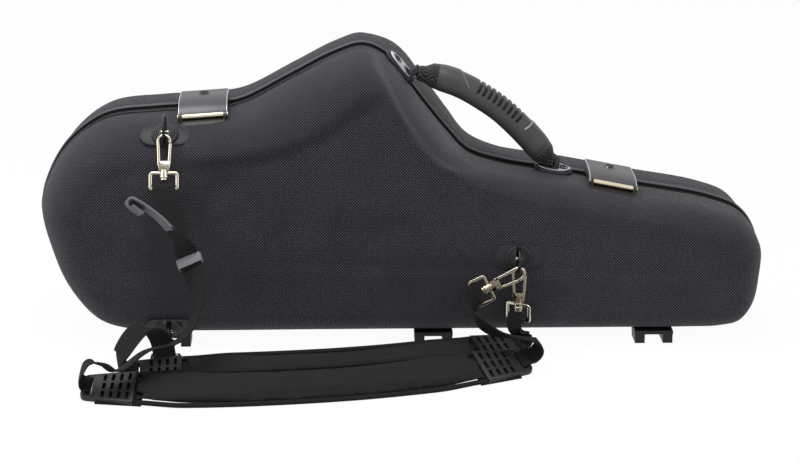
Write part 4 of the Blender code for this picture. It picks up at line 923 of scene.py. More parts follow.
def lining(name, node):
    # The CAD lining once more with softened edges; the front's follows the dip beside the hump
    made = shown(name, nodes[node].data.copy())
    applied(made, "REMESH", mode="VOXEL", voxel_size=3.2 * mm, adaptivity=0)
    applied(made, "SMOOTH", factor=0.5, iterations=6)
    dress(made, "plush", bodyOf[node], (node,), 180)
    if node == "front_lining":
        for vert in made.data.vertices:
            vert.co.y += dip(seenFront(vert.co), seamY - vert.co.y)


lining("frontLining", "front_lining")
lining("backLining", "back_lining")
print("linings made")


# Hooks, their gates and the loops on their stems, about the middle of the hook's top bend
hookSizes = {
    "inner": 3.6 * mm,
    "wire": 3.4 * mm,
    "bar": 2.6 * mm,
    "leg": 18 * mm,
    "hub": 9 * mm,
    "hubHigh": 0.42,
    "neck": 5 * mm,
    "gate": 2.6 * mm,
    "gateWidth": 3 * mm,
    "stem": 2 * mm,
    "stemLength": 8.4 * mm,
    "head": 3.2 * mm,
    "rivet": ((-2, 0.9), (-1.9, 1.5), (-1.4, 1.7), (1.4, 1.7), (1.9, 1.5), (2, 0.9)),
    "loopWidth": 26.6 * mm,
    "loopHeight": 17 * mm,
    "loopWire": 2.9 * mm,
    "loopCorner": 1.9 * mm,
    "taper": 0.8,
    "collar": 4 * mm,
    "gap": 0.3 * mm,
    "turns": {"upright": -40},
}


def hookFrame(tag):
    up = Vector(joints[f"{tag}_hook_swivel"]["axis"])
    depth = -Vector(joints[f"{tag}_gate_pivot"]["axis"])
    turn = Matrix((depth.cross(up), depth, up)).transposed().to_4x4()
    return Matrix.Translation(joints[f"{tag}_hook_swivel"]["pos_m"]) @ turn


def hookBody():
    s = hookSizes
    middle, narrow = s["inner"] + s["wire"] / 2, s["taper"]
    outer, top, low = s["inner"] + s["wire"], -s["leg"], -s["leg"] - s["hub"]
    bend = [(x, 0, z) for x, z in arc(middle, -12, 180, 20)]
    bend += [(-middle * (1 + narrow) / 2, 0, top / 2), (-middle * narrow, 0, top - s["wire"])]
    bail = swept(bend, roundedBox(s["bar"], s["wire"], 0.7 * mm))
    outline = [(-outer * narrow, top + 1 * mm), (-outer * narrow, top - 1 * mm)]
    outline += [(-s["neck"] * 0.92, low), (s["neck"] * 0.92, low), (outer * 0.8, low + s["hub"] * 0.5)]
    outline += [(outer * 0.8, top - 1 * mm), (outer * 0.5, top), (-outer * 0.4, top)]
    hub = plate(outline, -s["wire"] / 2, s["wire"] / 2, 0.5 * mm)
    hub.transform(upright)
    foot, thin, head = low - s["stemLength"], s["stem"], s["head"]
    stem = [(foot, head * 0.7), (foot + 0.4 * mm, head), (foot + 1.3 * mm, head), (foot + 1.7 * mm, thin)]
    stem += [(low - 0.8 * mm, thin), (low, thin * 1.5), (low + 1 * mm, thin * 1.5)]
    rivet = lathe([(z * mm, r * mm) for z, r in s["rivet"]])
    rivet.transform(Matrix.Translation((s["inner"] * 0.9, 0, top - s["hub"] * s["hubHigh"])) @ upright)
    return joined([bail, hub, lathe(stem), rivet])


def hookGate():
    s = hookSizes
    wide, leg, half = s["gate"], -s["leg"], 0.8 * mm
    low, top = leg - s["hub"] * s["hubHigh"], -s["wire"] / 2 - s["gap"]
    inner = s["inner"] + s["wire"] - wide
    outer = (s["inner"] + s["wire"]) * 0.86
    outline = [(s["inner"] * 0.9 + x, low + z) for x, z in arc(1.6 * mm, 160, 350, 10)]
    outline += [(outer, low + 2 * mm), (outer, leg + 2 * mm)]
    outline += [(outer - wide, leg + 2 * mm), (outer - wide, low + 3 * mm)]
    lug = plate(outline, -half, half, 0.25 * mm)
    lug.transform(upright)
    run = [(outer - wide / 2, 0, leg + 0.8 * mm), (inner + wide / 2, 0, top)]
    return joined([lug, swept(run, roundedBox(wide, s["gateWidth"], 0.7 * mm))])


def hookLoop():
    s = hookSizes
    top, half, wire, r = -s["leg"] - s["hub"] - s["gap"], s["loopWidth"] / 2, s["loopWire"], s["loopCorner"]
    side, low, high = half - wire / 2, top - s["loopHeight"] + wire / 2, top - wire / 2
    corners = (
        (side - r, high - r, 0),
        (-side + r, high - r, 90),
        (-side + r, low + r, 180),
        (side - r, low + r, 270),
    )
    path = []
    for x, z, start in corners:
        path += [(x + a, 0, z + b) for a, b in arc(r, start, start + 90, 6)]
    bent = swept(path, roundedBox(wire, wire * 0.8, 0.6 * mm), looped=True)
    wide, end = s["collar"], top - s["stemLength"] + 2.2 * mm
    groove = (top + end) / 2
    profile = [(end, wide * 0.8), (end + 0.5 * mm, wide), (groove - 0.7 * mm, wide)]
    profile += [(groove - 0.3 * mm, wide * 0.88), (groove + 0.3 * mm, wide * 0.88)]
    profile += [(groove + 0.7 * mm, wide), (top - 0.5 * mm, wide), (top, wide * 0.8)]
    return joined([bent, lathe(profile)])


def hook(tag):
    # Gives back the frame of the loop's lower bar, which the webbing goes round
    s = hookSizes
    place = hookFrame(tag)
    turned = place @ Matrix.Rotation(math.radians(s["turns"].get(tag, 0)), 4, "Z")
    standIn(f"{tag}Hook", hookBody(), "bright", f"{tag}_hook", 35, place)
    standIn(f"{tag}Gate", hookGate(), "bright", f"{tag}_gate", 35, place)
    standIn(f"{tag}HookLoop", hookLoop(), "bright", f"{tag}_hook_loop", 35, turned)
    barHeight = s["leg"] + s["hub"] + s["gap"] + s["loopHeight"] - s["loopWire"] / 2
    return turned @ Matrix.Translation((0, 0, -barHeight))


loopFrames = {tag: hook(tag) for tag in ("top", "bottom", "upright", "leaning")}
print("hooks made")


# Strap anchors with their rings
anchorSizes = {
    "length": 45 * mm,
    "width": 22 * mm,
    "thick": 2.4 * mm,
    "lip": (1.6 * mm, 0.45 * mm, 0.15 * mm),
    "boss": 12 * mm,
    "bossHeight": 8.2 * mm,
    "terraces": ((0.86, 0.72), (0.7, 0.86), (0.54, 0.97)),
    "bar": 1.6 * mm,
    "barHeight": 6.2 * mm,
    "slot": 4.6 * mm,
    "slotFloor": 0.9 * mm,
    "ring": 11 * mm,
    "wire": 1.3 * mm,
}
# sag is the turn of the ring at rest; share and turn are the anchor's place on the seam's outline
anchors = {
    "bell_top": {"name": "bellTop", "sag": 40, "share": -0.325, "upper": True, "turn": 0.54},
    "bell_bottom": {"name": "bellBottom", "sag": -32, "share": -0.322, "upper": False, "turn": 0.60},
    "face": {"name": "face", "sag": 0},
}


def anchorBody():
    s = anchorSizes
    oblong = stadium(s["length"], s["width"])
    inset, wire, sunk = s["lip"]
    rim = tube([(p.x, p.y, s["thick"] - sunk) for p in shrunk(oblong, inset)], wire, 6, looped=True)
    boss, high = s["boss"], s["bossHeight"]
    steps = [(0.6 * mm, boss), (high * 0.52, boss), (high * 0.6, boss * 0.97)]
    for radius, level in s["terraces"]:
        steps += [(high * (level - 0.08), boss * (radius + 0.05)), (high * level, boss * radius)]
        steps += [(high * level, boss * (radius - 0.07)), (high * (level - 0.05), boss * (radius - 0.09))]
    steps += [(high * 0.92, boss * 0.3), (high * 0.92, boss * 0.05)]
    half, reach = s["slot"] / 2, boss + 2 * mm
    corners = [(-half, -reach), (half, -reach), (half, reach), (-half, reach)]
    slot = lofted([[(x, y, z) for x, y in corners] for z in (s["slotFloor"], high + 2 * mm)])
    return joined([plate(oblong, 0.3 * mm, s["thick"], 0.7 * mm), rim, carved(lathe(steps, 48), slot)])


def anchorFacing(anchor):
    if "share" not in anchor:
        return Vector((0, -1, 0))
    out = edgeAt(anchor["share"], anchor["upper"]).facing(-1, anchor["turn"])
    return Vector((0, out.y, out.z)).normalized()


def anchored(tag, anchor):
    s = anchorSizes
    name, out = anchor["name"], anchorFacing(anchor)
    bar = Vector(joints[f"{tag}_ring_turn"]["pos_m"])
    tilt = Matrix.Rotation(math.atan2(-out.y, out.z), 4, "X")
    place = Matrix.Translation(bar - out * s["barHeight"]) @ tilt
    standIn(f"{name}Anchor", anchorBody(), "boss", f"{tag}_anchor", 35, place)
    pin = tube([(x * s["slot"] * 0.7, 0, s["barHeight"]) for x in (-1, 1)], s["bar"], 16)
    piece(f"{name}Pin", pin, "bright", "case", (), 40, place)
    sag = math.radians(anchor["sag"])
    hang = Vector((0, -math.cos(sag), math.sin(sag))) * (s["ring"] - s["wire"] - s["bar"] - 0.3 * mm)
    circle = [bar + hang + Vector((0, y, z)) for y, z in arc(s["ring"], 0, 360, 48)[:-1]]
    standIn(f"{name}Ring", tube(circle, s["wire"], 12, looped=True), "ringWire", f"{tag}_ring", 80)


for tag, anchor in anchors.items():
    anchored(tag, anchor)
print("anchors made")


# Straps: webbing from each hook's loop to a pad's slotted end, through points in mm
strapSizes = {
    "width": 20 * mm,
    "thick": 1.7 * mm,
    "corner": 0.8,
    "clear": 1.3 * mm,
    "steps": 7,
    "onEdge": 0.28,
    "flatAgain": (0.75, 0.2),
}
padSizes = {
    "width": 50 * mm,
    "thick": 11 * mm,
    "lean": 20,
    "fitting": 46 * mm,
    "fittingBar": 5 * mm,
    "sunk": 0.5 * mm,
    "voxel": 4 * mm,
    "cap": 2.6 * mm,
    "taper": (0.86, 0.45),
    "taperSteps": 10,
    "binding": (5 * mm, 3.4 * mm),
    "bindingInset": 2.2 * mm,
}
padRoutes = {
    "front": ((-232, -208), (-180, -210), (-120, -206), (-50, -195), (10, -179), (64, -160)),
    "rear": ((-195, -166), (-140, -163), (-60, -153), (10, -136), (66, -114)),
}
# curl is the way out of the fitting; middle is the webbing's heading across, where it turns on edge
straps = {
    "top": {
        "points": (
            (-199, -112, 123), (-188, -132, 100), (-181, -152, 78),
            (-184, -170, 57), (-198, -187, 44), (-223, -198, 40),
        ),
        "end": ("front", 0),
        "curl": ((-28, 18), (-18, 25), (-7, 26), (0.5, 19), (2.5, 10)),
        "sign": 1,
        "middle": (0.42, -0.86, 0.3),
    },
    "bottom": {
        "points": ((-214, -141, 30), (-220, -149, 42), (-231, -157, 47)),
        "end": ("rear", 0),
        "curl": ((8.7, 21), (11, 13), (6, 6.4)),
        "sign": 1,
    },
    "leaning": {
        "points": ((58, -103, 50), (61, -114, 43), (70, -127, 38), (84, -138, 34)),
        "end": ("front", -1),
        "curl": ((8.7, 21), (11, 13), (6, 6.4)),
        "sign": 1,
    },
    "upright": {
        "points": ((102, -94, 26),),
        "end": ("rear", -1),
        "curl": ((3.2, 11),),
        "sign": -1,
    },
}


def padStations(name, steps):
    # Along a pad: place on its middle, heading, way across it and way out of its face
    route = spline([Vector((x * mm, seamY + y * mm, 0)) for x, y in padRoutes[name]], steps)
    lean = math.radians(padSizes["lean"])
    section = oval(padSizes["width"], padSizes["thick"], 12)
    rest = -padSizes["sunk"] - min(p.x * math.sin(lean) + p.y * math.cos(lean) for p in section)
    stations = []
    for here, along in zip(route, headings(route)):
        behind = upward.cross(along)
        across = behind * math.cos(lean) + upward * math.sin(lean)
        normal = upward * math.cos(lean) - behind * math.sin(lean)
        stations.append((here + upward * rest, along, across, normal))
    return stations


def fittingFrame(name, end):
    here, along, _, normal = padStations(name, 3)[end]
    out = along if end else -along
    return Matrix.Translation(here) @ Matrix((out, normal.cross(out), normal)).transposed().to_4x4()


def aroundBar(place, start, end, corner):
    radius = corner * strapSizes["corner"] + strapSizes["clear"]
    return [place @ Vector((0, y, z)) for y, z in arc(radius, start, end, 5)]


def bandFrames(route, first, second, held=0, haste=1.0, middle=None):
    # Along a band: place, heading, way across it and way out of it, turning from first to second
    frames = []
    for i, (here, along) in enumerate(zip(route, headings(route))):
        share = (i - held) / (len(route) - 1 - 2 * held)
        wide = first.lerp(second, ease(haste * share))
        if middle:
            begin, run = strapSizes["flatAgain"]
            wide = first.lerp(Vector(middle), ease(share / strapSizes["onEdge"]))
            wide = wide.lerp(second, ease((share - begin) / run))
        wide = (wide - along * wide.dot(along)).normalized()
        frames.append((here, along, wide, along.cross(wide).normalized()))
    return frames


def band(frames, width, thick, cup=0.35 * mm):
    # Woven band with round edges, a little hollow across
    places = (0.97, 0.62, 0.2, -0.2, -0.62, -0.97)
    line = [(1, 0)] + [(u, 1) for u in places] + [(-1, 0)] + [(-u, -1) for u in places]
    rings, cloth = [], []
    for (here, _, wide, normal), run in zip(frames, runsOf([f[0] for f in frames])):
        ring = []
        for u, side in line:
            lift = cup * (1 - u * u) + side * thick / 2 * (0.8 if abs(u) > 0.9 else 1)
            ring.append(here + wide * u * width / 2 + normal * lift)
        rings.append(ring)
        cloth.append([(run, u * width / 2) for u, _ in line])
    return lofted(rings, cloth=cloth)


def strapBand(tag, strap):
    s = strapSizes
    place = fittingFrame(*strap["end"])
    bar = padSizes["fitting"] - padSizes["fittingBar"] / 2
    barFrame = place @ Matrix.Translation((bar, 0, 0)) @ Matrix.Rotation(math.pi / 2, 4, "Z")
    start = aroundBar(loopFrames[tag], -40, 190, hookSizes["loopWire"])
    middle = [Vector((x * mm, seamY + y * mm, z * mm)) for x, y, z in strap["points"]]
    free = [place @ Vector((bar + x * mm, 0, z * mm)) for x, z in strap["curl"]]
    wrap = aroundBar(barFrame, 100, -100, padSizes["fittingBar"])
    route = spline([*start, *middle, *free, *wrap], s["steps"])
    first = loopFrames[tag].col[0].xyz * strap["sign"]
    held = s["steps"] * len(wrap)
    frames = bandFrames(route, first, place.col[1].xyz, held, middle=strap.get("middle"))
    standIn(f"{tag}Webbing", band(frames, s["width"], s["thick"]), "webbing", f"{tag}_strap", 60)
    return frames


bandRoutes = {tag: strapBand(tag, strap) for tag, strap in straps.items()}
print("straps made")

slide = {
    "at": (-188 * mm, seamY - 132 * mm, 100 * mm),
    "width": 22.6 * mm,
    "height": 9 * mm,
    "thick": 7.6 * mm,
    "corner": 1.5 * mm,
    "edge": 0.6 * mm,
    "hole": (20.4 * mm, 5.6 * mm, 0.8 * mm),
}
# The loose end, in mm: it turns edge on towards its folded tip
tail = {
    "path": ((-194, -61.5, 118), (-204.6, -62.5, 130), (-214.7, -63.5, 141.5), (-224, -64.5, 149.5)),
    "fold": (
        (-231.6, -65, 155), (-237.6, -65, 157.5), (-239.8, -65, 154.4),
        (-236.6, -64.5, 150.6), (-229, -64, 144.6),
    ),
    "edge": (0.2, -0.915, 0.45),
    "tip": (19 * mm, 2.4 * mm, 0.2 * mm),
}


def slideRing():
    s = slide
    outer = roundedBox(s["width"], s["thick"], s["corner"])
    hole = roundedBox(*s["hole"])
    half, edge = s["height"] / 2, s["edge"]
    levels = ((outer, -half, 0.5), (outer, -half + edge, 0), (outer, half - edge, 0), (outer, half, 0.5))
    rings = []
    for section, level, inset in (*levels, (hole, half, 0), (hole, -half, 0)):
        x, y = 1 - inset * mm / s["width"] * 2, 1 - inset * mm / s["thick"] * 2
        rings.append([(p.x * x, level, p.y * y) for p in section])
    return lofted(rings, looped=True)


def slideAndTail():
    here, along, wide, out = min(bandRoutes["top"], key=lambda f: (f[0] - Vector(slide["at"])).length)
    turned = Matrix((wide, along, out)).transposed().to_4x4()
    slideFrame = Matrix.Translation(here + out * 1.2 * mm) @ turned
    standIn("strapSlide", slideRing(), "buckle", "strap_slide", 40, slideFrame)
    path = [here + along * 6 * mm + out * 2.3 * mm, here - along * 5 * mm + out * 2.4 * mm]
    path += [Vector(p) * mm for p in tail["path"]]
    edge = Vector(tail["edge"])
    frames = bandFrames(spline(path, 6), wide, edge, haste=1.4)
    webbing = band(frames[:20], strapSizes["width"], strapSizes["thick"])
    standIn("tailWebbing", webbing, "webbing", "strap_tail", 60)
    fold = spline([*[f[0] for f in frames[18::5]], *[Vector(p) * mm for p in tail["fold"]]], 6)
    folded = band(bandFrames(fold, frames[18][2], edge, haste=2), *tail["tip"])
    added("tailTip", folded, "tip", "strap_tail", 60)


slideAndTail()
print("slide and tail made")


# Shoulder pads: foam in cloth, swollen by a short simulation, with bound edges


def layCloth(made, stations):
    # Writes each point's place along and across the pad
    runs = runsOf([station[0] for station in stations])
    values = []
    for vert in made.data.vertices:
        k = min(range(len(stations)), key=lambda i: (stations[i][0] - vert.co).length_squared)
        here, along, across, _ = stations[k]
        off = vert.co - here
        values += [runs[k] + off.dot(along), off.dot(across), 0.0]
    layer = made.data.attributes.get("cloth") or made.data.attributes.new("cloth", "FLOAT_VECTOR", "POINT")
    layer.data.foreach_set("vector", values)


def swollen(made, cap, pressure=4.0, frames=20):
    # A short cloth simulation, with each point's way capped
    start = [v.co.copy() for v in made.data.vertices]
    settings = made.modifiers.new("cloth", "CLOTH").settings
    settings.use_pressure = True
    settings.uniform_pressure_force = pressure
    settings.effector_weights.gravity = 0
    settings.quality = 6
    for number in range(1, frames + 1):
        bpy.context.scene.frame_set(number)
    graph = bpy.context.evaluated_depsgraph_get()
    mesh = bpy.data.meshes.new_from_object(made.evaluated_get(graph))
    made.modifiers.clear()
    made.data = mesh
    bpy.context.scene.frame_set(1)
    for vert, before in zip(mesh.vertices, start):
        way = vert.co - before
        if way.length > cap:
            way *= cap / way.length
        vert.co = before + way
        vert.co.z = max(vert.co.z, 0.2 * mm)


def endShare(i, count):
    return ease(min(i, count - 1 - i) / padSizes["taperSteps"])


def padBody(name, stations):
    s = padSizes
    section = oval(s["width"] * 0.93, s["thick"] * 0.8, 28, 0.78)
    narrow, thin = s["taper"]
    rings = []
    for i, (here, _, across, normal) in enumerate(stations):
        share = endShare(i, len(stations))
        wide, high = narrow + (1 - narrow) * share, thin + (1 - thin) * share
        rings.append([here + across * p.x * wide + normal * p.y * high for p in section])
    made = standIn(f"{name}PadBody", lofted(rings), "pad", f"{name}_pad", 180)
    applied(made, "REMESH", mode="VOXEL", voxel_size=s["voxel"], adaptivity=0)
    swollen(made, s["cap"])
    applied(made, "SUBSURF", levels=1)
    layCloth(made, stations)
    made.data.materials.clear()
    made.data.materials.append(looks["pad"])
    made.data.shade_smooth()


def binding(stations, side):
    s = padSizes
    section = oval(*s["binding"], 12, 0.8)
    narrow = s["taper"][0]
    rings, places = [], []
    for i, (here, _, across, normal) in enumerate(stations):
        half = s["width"] / 2 * (narrow + (1 - narrow) * endShare(i, len(stations)))
        places.append(here + across * side * (half - s["bindingInset"]))
        ring = [places[-1] + across * p.x + normal * p.y for p in section]
        rings.append([Vector((p.x, p.y, max(p.z, 0.1 * mm))) for p in ring])
    cloth = [[(run, k * 1.1 * mm) for k in range(12)] for run in runsOf(places)]
    return lofted(rings, cloth=cloth)


for name in padRoutes:
    stations = padStations(name, 12)
    padBody(name, stations)
    for side, word in ((-1, "Lower"), (1, "Upper")):
        added(f"{name}{word}Binding", binding(stations, side), "binding", f"{name}_pad", 180)
    print(name, "pad made")


# The carrying handle: its route goes from eye to eye, as shares of the way between them
handleSizes = {
    "shares": (0.006, 0.212),
    "heights": (10 * mm, 8 * mm),
    "setback": 16 * mm,
    "route": (
        (0.055, 0.014), (0.135, 0.047), (0.257, 0.080), (0.381, 0.092), (0.541, 0.090),
        (0.686, 0.066), (0.807, 0.036), (0.900, 0.008), (0.950, -0.006),
    ),
    "grip": (0.085, 0.925),
    "ribs": (0.335, 0.68),
    "ribCount": 9,
    "ribDepth": 2.1 * mm,
    "ribEdge": 0.004,
    "field": (0.215, 0.745),
    "fieldBow": 0.095,
    "fieldDepth": 0.9 * mm,
    "fieldEdge": 0.012,
    "fieldTurn": 75,
    "fieldSpread": (0.32, 0.16),
    "grooveSpread": (0.16, 0.12),
    "swell": 0.03,
    "width": 30 * mm,
    "thick": 24 * mm,
    "twist": 30 * mm,
    "tip": (3.6 * mm, 11 * mm, 8.4 * mm),
    "neck": (16 * mm, 14.5 * mm),
    "collar": (26 * mm, 22 * mm),
    "pin": (3 * mm, -2.5 * mm, 11 * mm),
}


class Route:
    # The handle's middle line between its two eyes
    def __init__(self, s):
        places = zip(s["shares"], s["heights"])
        self.eyes = [edgeAt(share).on(-height, seamY - s["setback"]) for share, height in places]
        chord = self.eyes[1] - self.eyes[0]
        self.way = chord.normalized()
        out = Vector((-self.way.z, 0, self.way.x))
        self.points = spline([self.eyes[0] + chord * t + out * chord.length * h for t, h in s["route"]], 16)
        self.runs = runsOf(self.points)

    def at(self, share):
        # Place and way out at a share of the length
        target = min(share, 0.9999) * self.runs[-1]
        i = next(k for k in range(1, len(self.runs)) if self.runs[k] >= target)
        t = (target - self.runs[i - 1]) / (self.runs[i] - self.runs[i - 1])
        heading = (self.points[i] - self.points[i - 1]).normalized()
        return self.points[i - 1].lerp(self.points[i], t), Vector((-heading.z, 0, heading.x))


handleRoute = Route(handleSizes)


def gripPoint(share, p, width, thick):
    # Ribs and their sunk field lie on the top and on the front, where the fingers close
    s = handleSizes
    (low, high), (first, last), (start, end) = s["grip"], s["ribs"], s["field"]
    place, up = handleRoute.at(share)
    turn = math.atan2(p.y / thick, -p.x / width)
    bow = s["fieldBow"] * (1 - math.sin(turn))
    (least, spread), (grooveHalf, grooveEdge) = s["fieldSpread"], s["grooveSpread"]
    field = ease((math.cos(turn - math.radians(s["fieldTurn"])) - least) / spread)
    inside = field * ease((share - start - bow) / s["fieldEdge"] + 0.5)
    inside *= ease((end - bow * 0.2 - share) / s["fieldEdge"] + 0.5)
    phase = ((share - first) / ((last - first) / s["ribCount"])) % 1
    ribbed = ease((share - first) / s["ribEdge"]) * ease((last - share) / s["ribEdge"])
    groove = ribbed * inside * (1 - ease((abs(phase - 0.5) - grooveHalf) / grooveEdge))
    sink = inside * s["fieldDepth"] + groove * s["ribDepth"]
    scale = 1 + s["swell"] * math.sin(math.pi * (share - low) / (high - low)) - sink / (thick / 2)
    # The third value: the grooves' depth, read as painted shade, less a painted highlight along the edge of the
    # sunk field
    rim = 4 * inside * (1 - inside) * field * (1 - 0.7 * ribbed)
    return place + Vector((0, p.x * scale, 0)) + up * p.y * scale, groove - rim


def grip(count=240):
    s = handleSizes
    low, high = s["grip"]
    rings, deep = [], []
    for i in range(count + 1):
        share = low + (high - low) * i / count
        end = ease(min(share - low, high - share) / 0.05)
        width, thick = s["width"] * (0.86 + 0.14 * end), s["thick"] * (0.95 + 0.05 * end)
        made = [gripPoint(share, p, width, thick) for p in oval(width, thick, 48, 2 / 2.6)]
        rings.append([point for point, _ in made])
        deep.append([(0, 0, level) for _, level in made])
    ends = []
    for ring in (rings[0], rings[-1]):
        middle = sum(ring, Vector()) / len(ring)
        ends.append([middle.lerp(p, 0.9) for p in ring])
    return lofted([ends[0], *rings, ends[1]], cloth=[deep[0], *deep, deep[-1]])


def wovenEnd(first, last, eye, way, sides=28):
    # Thick woven end between the grip and the bracket, with the pin in its eye
    s = handleSizes
    reach, tipWidth, tipThick = s["tip"]
    rings, places, steps = [], [], []
    for i in range(-4, 15):
        t = max(0, i) / 14
        place, up = handleRoute.at(first + (last - first) * t)
        width, thick = [a + (b - a) * ease(1.25 * t) for a, b in zip(s["neck"], s["collar"])]
        if i < 0:
            near = -i / 4
            place = place.lerp(eye + way * reach, near)
            bulge = math.sqrt(1 - near * near * 0.8)
            width, thick = tipWidth + (width - tipWidth) * bulge, tipThick + (thick - tipThick) * bulge
        places.append(place)
        steps.append(math.pi * (width + thick) / 2 / sides)
        rings.append([place + Vector((0, p.x, 0)) + up * p.y for p in oval(width, thick, sides, 0.74)])
    cloth = [[(run, k * step) for k in range(sides)] for run, step in zip(runsOf(places), steps)]
    radius, back, front = s["pin"]
    pin = tube([eye + way * back, eye + way * front], radius, 16)
    return joined([lofted(rings, cloth=cloth), pin])


standIn("gripBody", grip(), "grip", "handle_grip")
wovenEnds = {
    "upper": {"shares": (0.0, 0.087), "eye": handleRoute.eyes[0], "way": handleRoute.way},
    "lower": {"shares": (1.0, 0.923), "eye": handleRoute.eyes[1], "way": -handleRoute.way},
}
for tag, end in wovenEnds.items():
    node = f"handle_{tag}_end"
    eye, way = end["eye"], end["way"]
    woven = wovenEnd(*end["shares"], eye, way)
    made = piece(f"{tag}Webbing", woven, "weaveStub", None, (node,), 50)
    eye + way * handleSizes["twist"]
    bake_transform(made)


# The brackets: a rubber wedge, a pointed metal leaf with plain rings, and the lug that the handle turns in
brackets = {
    "upper": {"share": -0.0045, "length": 34 * mm, "rings": (-8 * mm, 6 * mm)},
    "lower": {"share": 0.210, "length": 32 * mm, "rings": (-7 * mm, 8 * mm)},
}
bracketSizes = {
    "sink": 1.2 * mm,
    "low": 2.5 * mm,
    "high": 4.4 * mm,
    "tilt": 12,
    "pivot": 10 * mm,
    "padWidth": 19 * mm,
    "leafWidth": 17 * mm,
    "levels": ((0.3 * mm, 0.6 * mm, 0), (0.9 * mm, 0, 0.1), (2.0 * mm, 0, 0.9), (2.6 * mm, 0.6 * mm, 1)),
    "lug": (6.6 * mm, 7.4 * mm, 2.6 * mm),
    "marks": (3.6 * mm, 1.7 * mm),
}


def outlineFrame(share, sink, setback=0.0):
    # Where a fitting sits on the seam's outline: X along it, Z out of it
    e = edgeAt(share)
    place = e.on(sink, seamY - setback)
    return Matrix.Translation(place) @ Matrix.Rotation(math.atan2(-e.inward.x, -e.inward.y), 4, "Y")


def leaf(length, width):
    made = []
    for t in around(48):
        made.append(Vector((math.cos(t) * length / 2, math.sin(t) * abs(math.sin(t)) ** 0.25 * width / 2)))
    return made


def wedge(outline, slope):
    s = bracketSizes
    rings = []
    for z, inset, share in s["levels"]:
        rings.append([(p.x, p.y, z + share * (p.y + s["pivot"]) * slope) for p in shrunk(outline, inset)])
    return lofted(rings)


def lugBody(eye):
    s = bracketSizes
    radius, foot, half = s["lug"]
    outline = [(eye.y + y, eye.z + z) for y, z in arc(radius, -10, 190, 16)]
    outline += [(eye.y - foot, s["low"]), (eye.y + foot, s["low"])]
    lug = plate(outline, -half, half, 0.8 * mm)
    lug.transform(sideways(eye.x))
    return lug


def ringMarks(places):
    marks = []
    for x in places:
        for radius in bracketSizes["marks"]:
            wide, high = radius * 1.25, bracketSizes["high"]
            line = [(x + wide * math.cos(t), radius * math.sin(t), high) for t in around(28)]
            marks.append(tube(line, 0.5 * mm, 6, looped=True))
    return joined(marks)


def bracket(tag, length, rings, share, eye):
    s = bracketSizes
    tilt, pivot = math.radians(s["tilt"]), Matrix.Translation((0, s["pivot"], 0))
    place = outlineFrame(share, s["sink"], handleSizes["setback"])
    tilted = place @ pivot.inverted() @ Matrix.Rotation(tilt, 4, "X") @ pivot
    base = stadium(length + 3 * mm, s["padWidth"])
    standIn(f"{tag}BracketPad", wedge(base, math.tan(tilt)), "boss", f"handle_{tag}_pad", 35, place)
    metal = plate(leaf(length, s["leafWidth"]), s["low"], s["high"], 0.7 * mm)
    node = f"handle_{tag}_plate"
    standIn(f"{tag}BracketPlate", metal, "bracket", node, 35, tilted)
    added(f"{tag}BracketLug", lugBody(place.inverted() @ eye), "boss", node, 35, place)
    # The near-black rings are painted shade for the ring grooves on the leaf
    added(f"{tag}BracketMarks", ringMarks(rings), "hollow", node, 60, tilted)


for (tag, sizes), eye in zip(brackets.items(), handleRoute.eyes):
    bracket(tag, **sizes, eye=eye)
print("handle made")


latchSizes = {
    "shares": {"left": -0.272, "right": 0.288},
    "sink": 0.8 * mm,
    "width": 44 * mm,
    "thick": 1.8 * mm,
    "reach": 46 * mm,
    "tail": 17 * mm,
    "rise": 11 * mm,
    "frontRise": 3 * mm,
    "fall": ((0.25, 1.0), (0.45, 0.93), (0.62, 0.77), (0.78, 0.46)),
    "corner": (6 * mm, 4 * mm),
    "cheek": 1.6 * mm,
    "trim": 0.45 * mm,
    "bar": ((-1, 1.7 * mm), (-0.985, 2.2 * mm), (0.985, 2.2 * mm), (1, 1.7 * mm)),
    "barOver": 0.9 * mm,
    "keyhole": (4.6 * mm, 0.2 * mm),
}


def latchCrown(bar):
    # The cover's outside, from its tail over the seam down to its bar
    s = latchSizes
    rise, reach, tail, front = s["rise"], s["reach"], s["tail"], bar.z + s["frontRise"]
    crown = [(tail, rise - s["thick"] * 1.2), (tail - 1.4 * mm, rise - 0.8 * mm)]
    crown += [(tail - 5 * mm, rise), (0, rise)]
    crown += [(-reach * y, front + (rise - front) * z) for y, z in s["fall"]]
    return crown + [(-reach + 4 * mm, front), (-reach + 1.6 * mm, front - 1.2 * mm)]


def latchSkin(crown):
    # The cover, narrower at its tail, and the lines of its bright edges
    s = latchSizes
    thick, (run, depth) = s["thick"], s["corner"]
    line = spline([(0, y, z - thick / 2) for y, z in crown], 6)
    rings, trims = [], ([], [])
    for here, way in zip(line, headings(line)):
        normal = Vector((0, way.z, -way.y))
        corner = max(0.0, 1 - (s["tail"] - here.y) / run)
        half = s["width"] / 2 - depth * (1 - math.sqrt(1 - min(1.0, corner) ** 2))
        section = roundedBox(half * 2, thick, 0.7 * mm)
        rings.append([here + Vector((p.x, 0, 0)) + normal * p.y for p in section])
        for trim, side in zip(trims, (-1, 1)):
            trim.append(here + Vector((side * (half - 0.4 * mm), 0, 0)) + normal * 0.75 * mm)
    return lofted(rings), trims


def latchCheeks(bar, crown):
    s = latchSizes
    cheek = [(-s["reach"] + y, bar.z + z) for y, z in arc(3.5 * mm, 130, 330, 12)]
    cheek += [(-s["reach"] * 0.5, 2.6 * mm), (-4.4 * mm, 2.6 * mm), (-4.4 * mm, s["rise"] - s["thick"])]
    cheek += [(y, z - s["thick"] * 0.6) for y, z in crown[4:-1]]
    sides = []
    for x in (-s["width"] / 2 + 0.05 * mm, s["width"] / 2 - 1.65 * mm):
        sides.append(plate(cheek, 0, s["cheek"], 0.3 * mm))
        sides[-1].transform(sideways(x))
    return sides


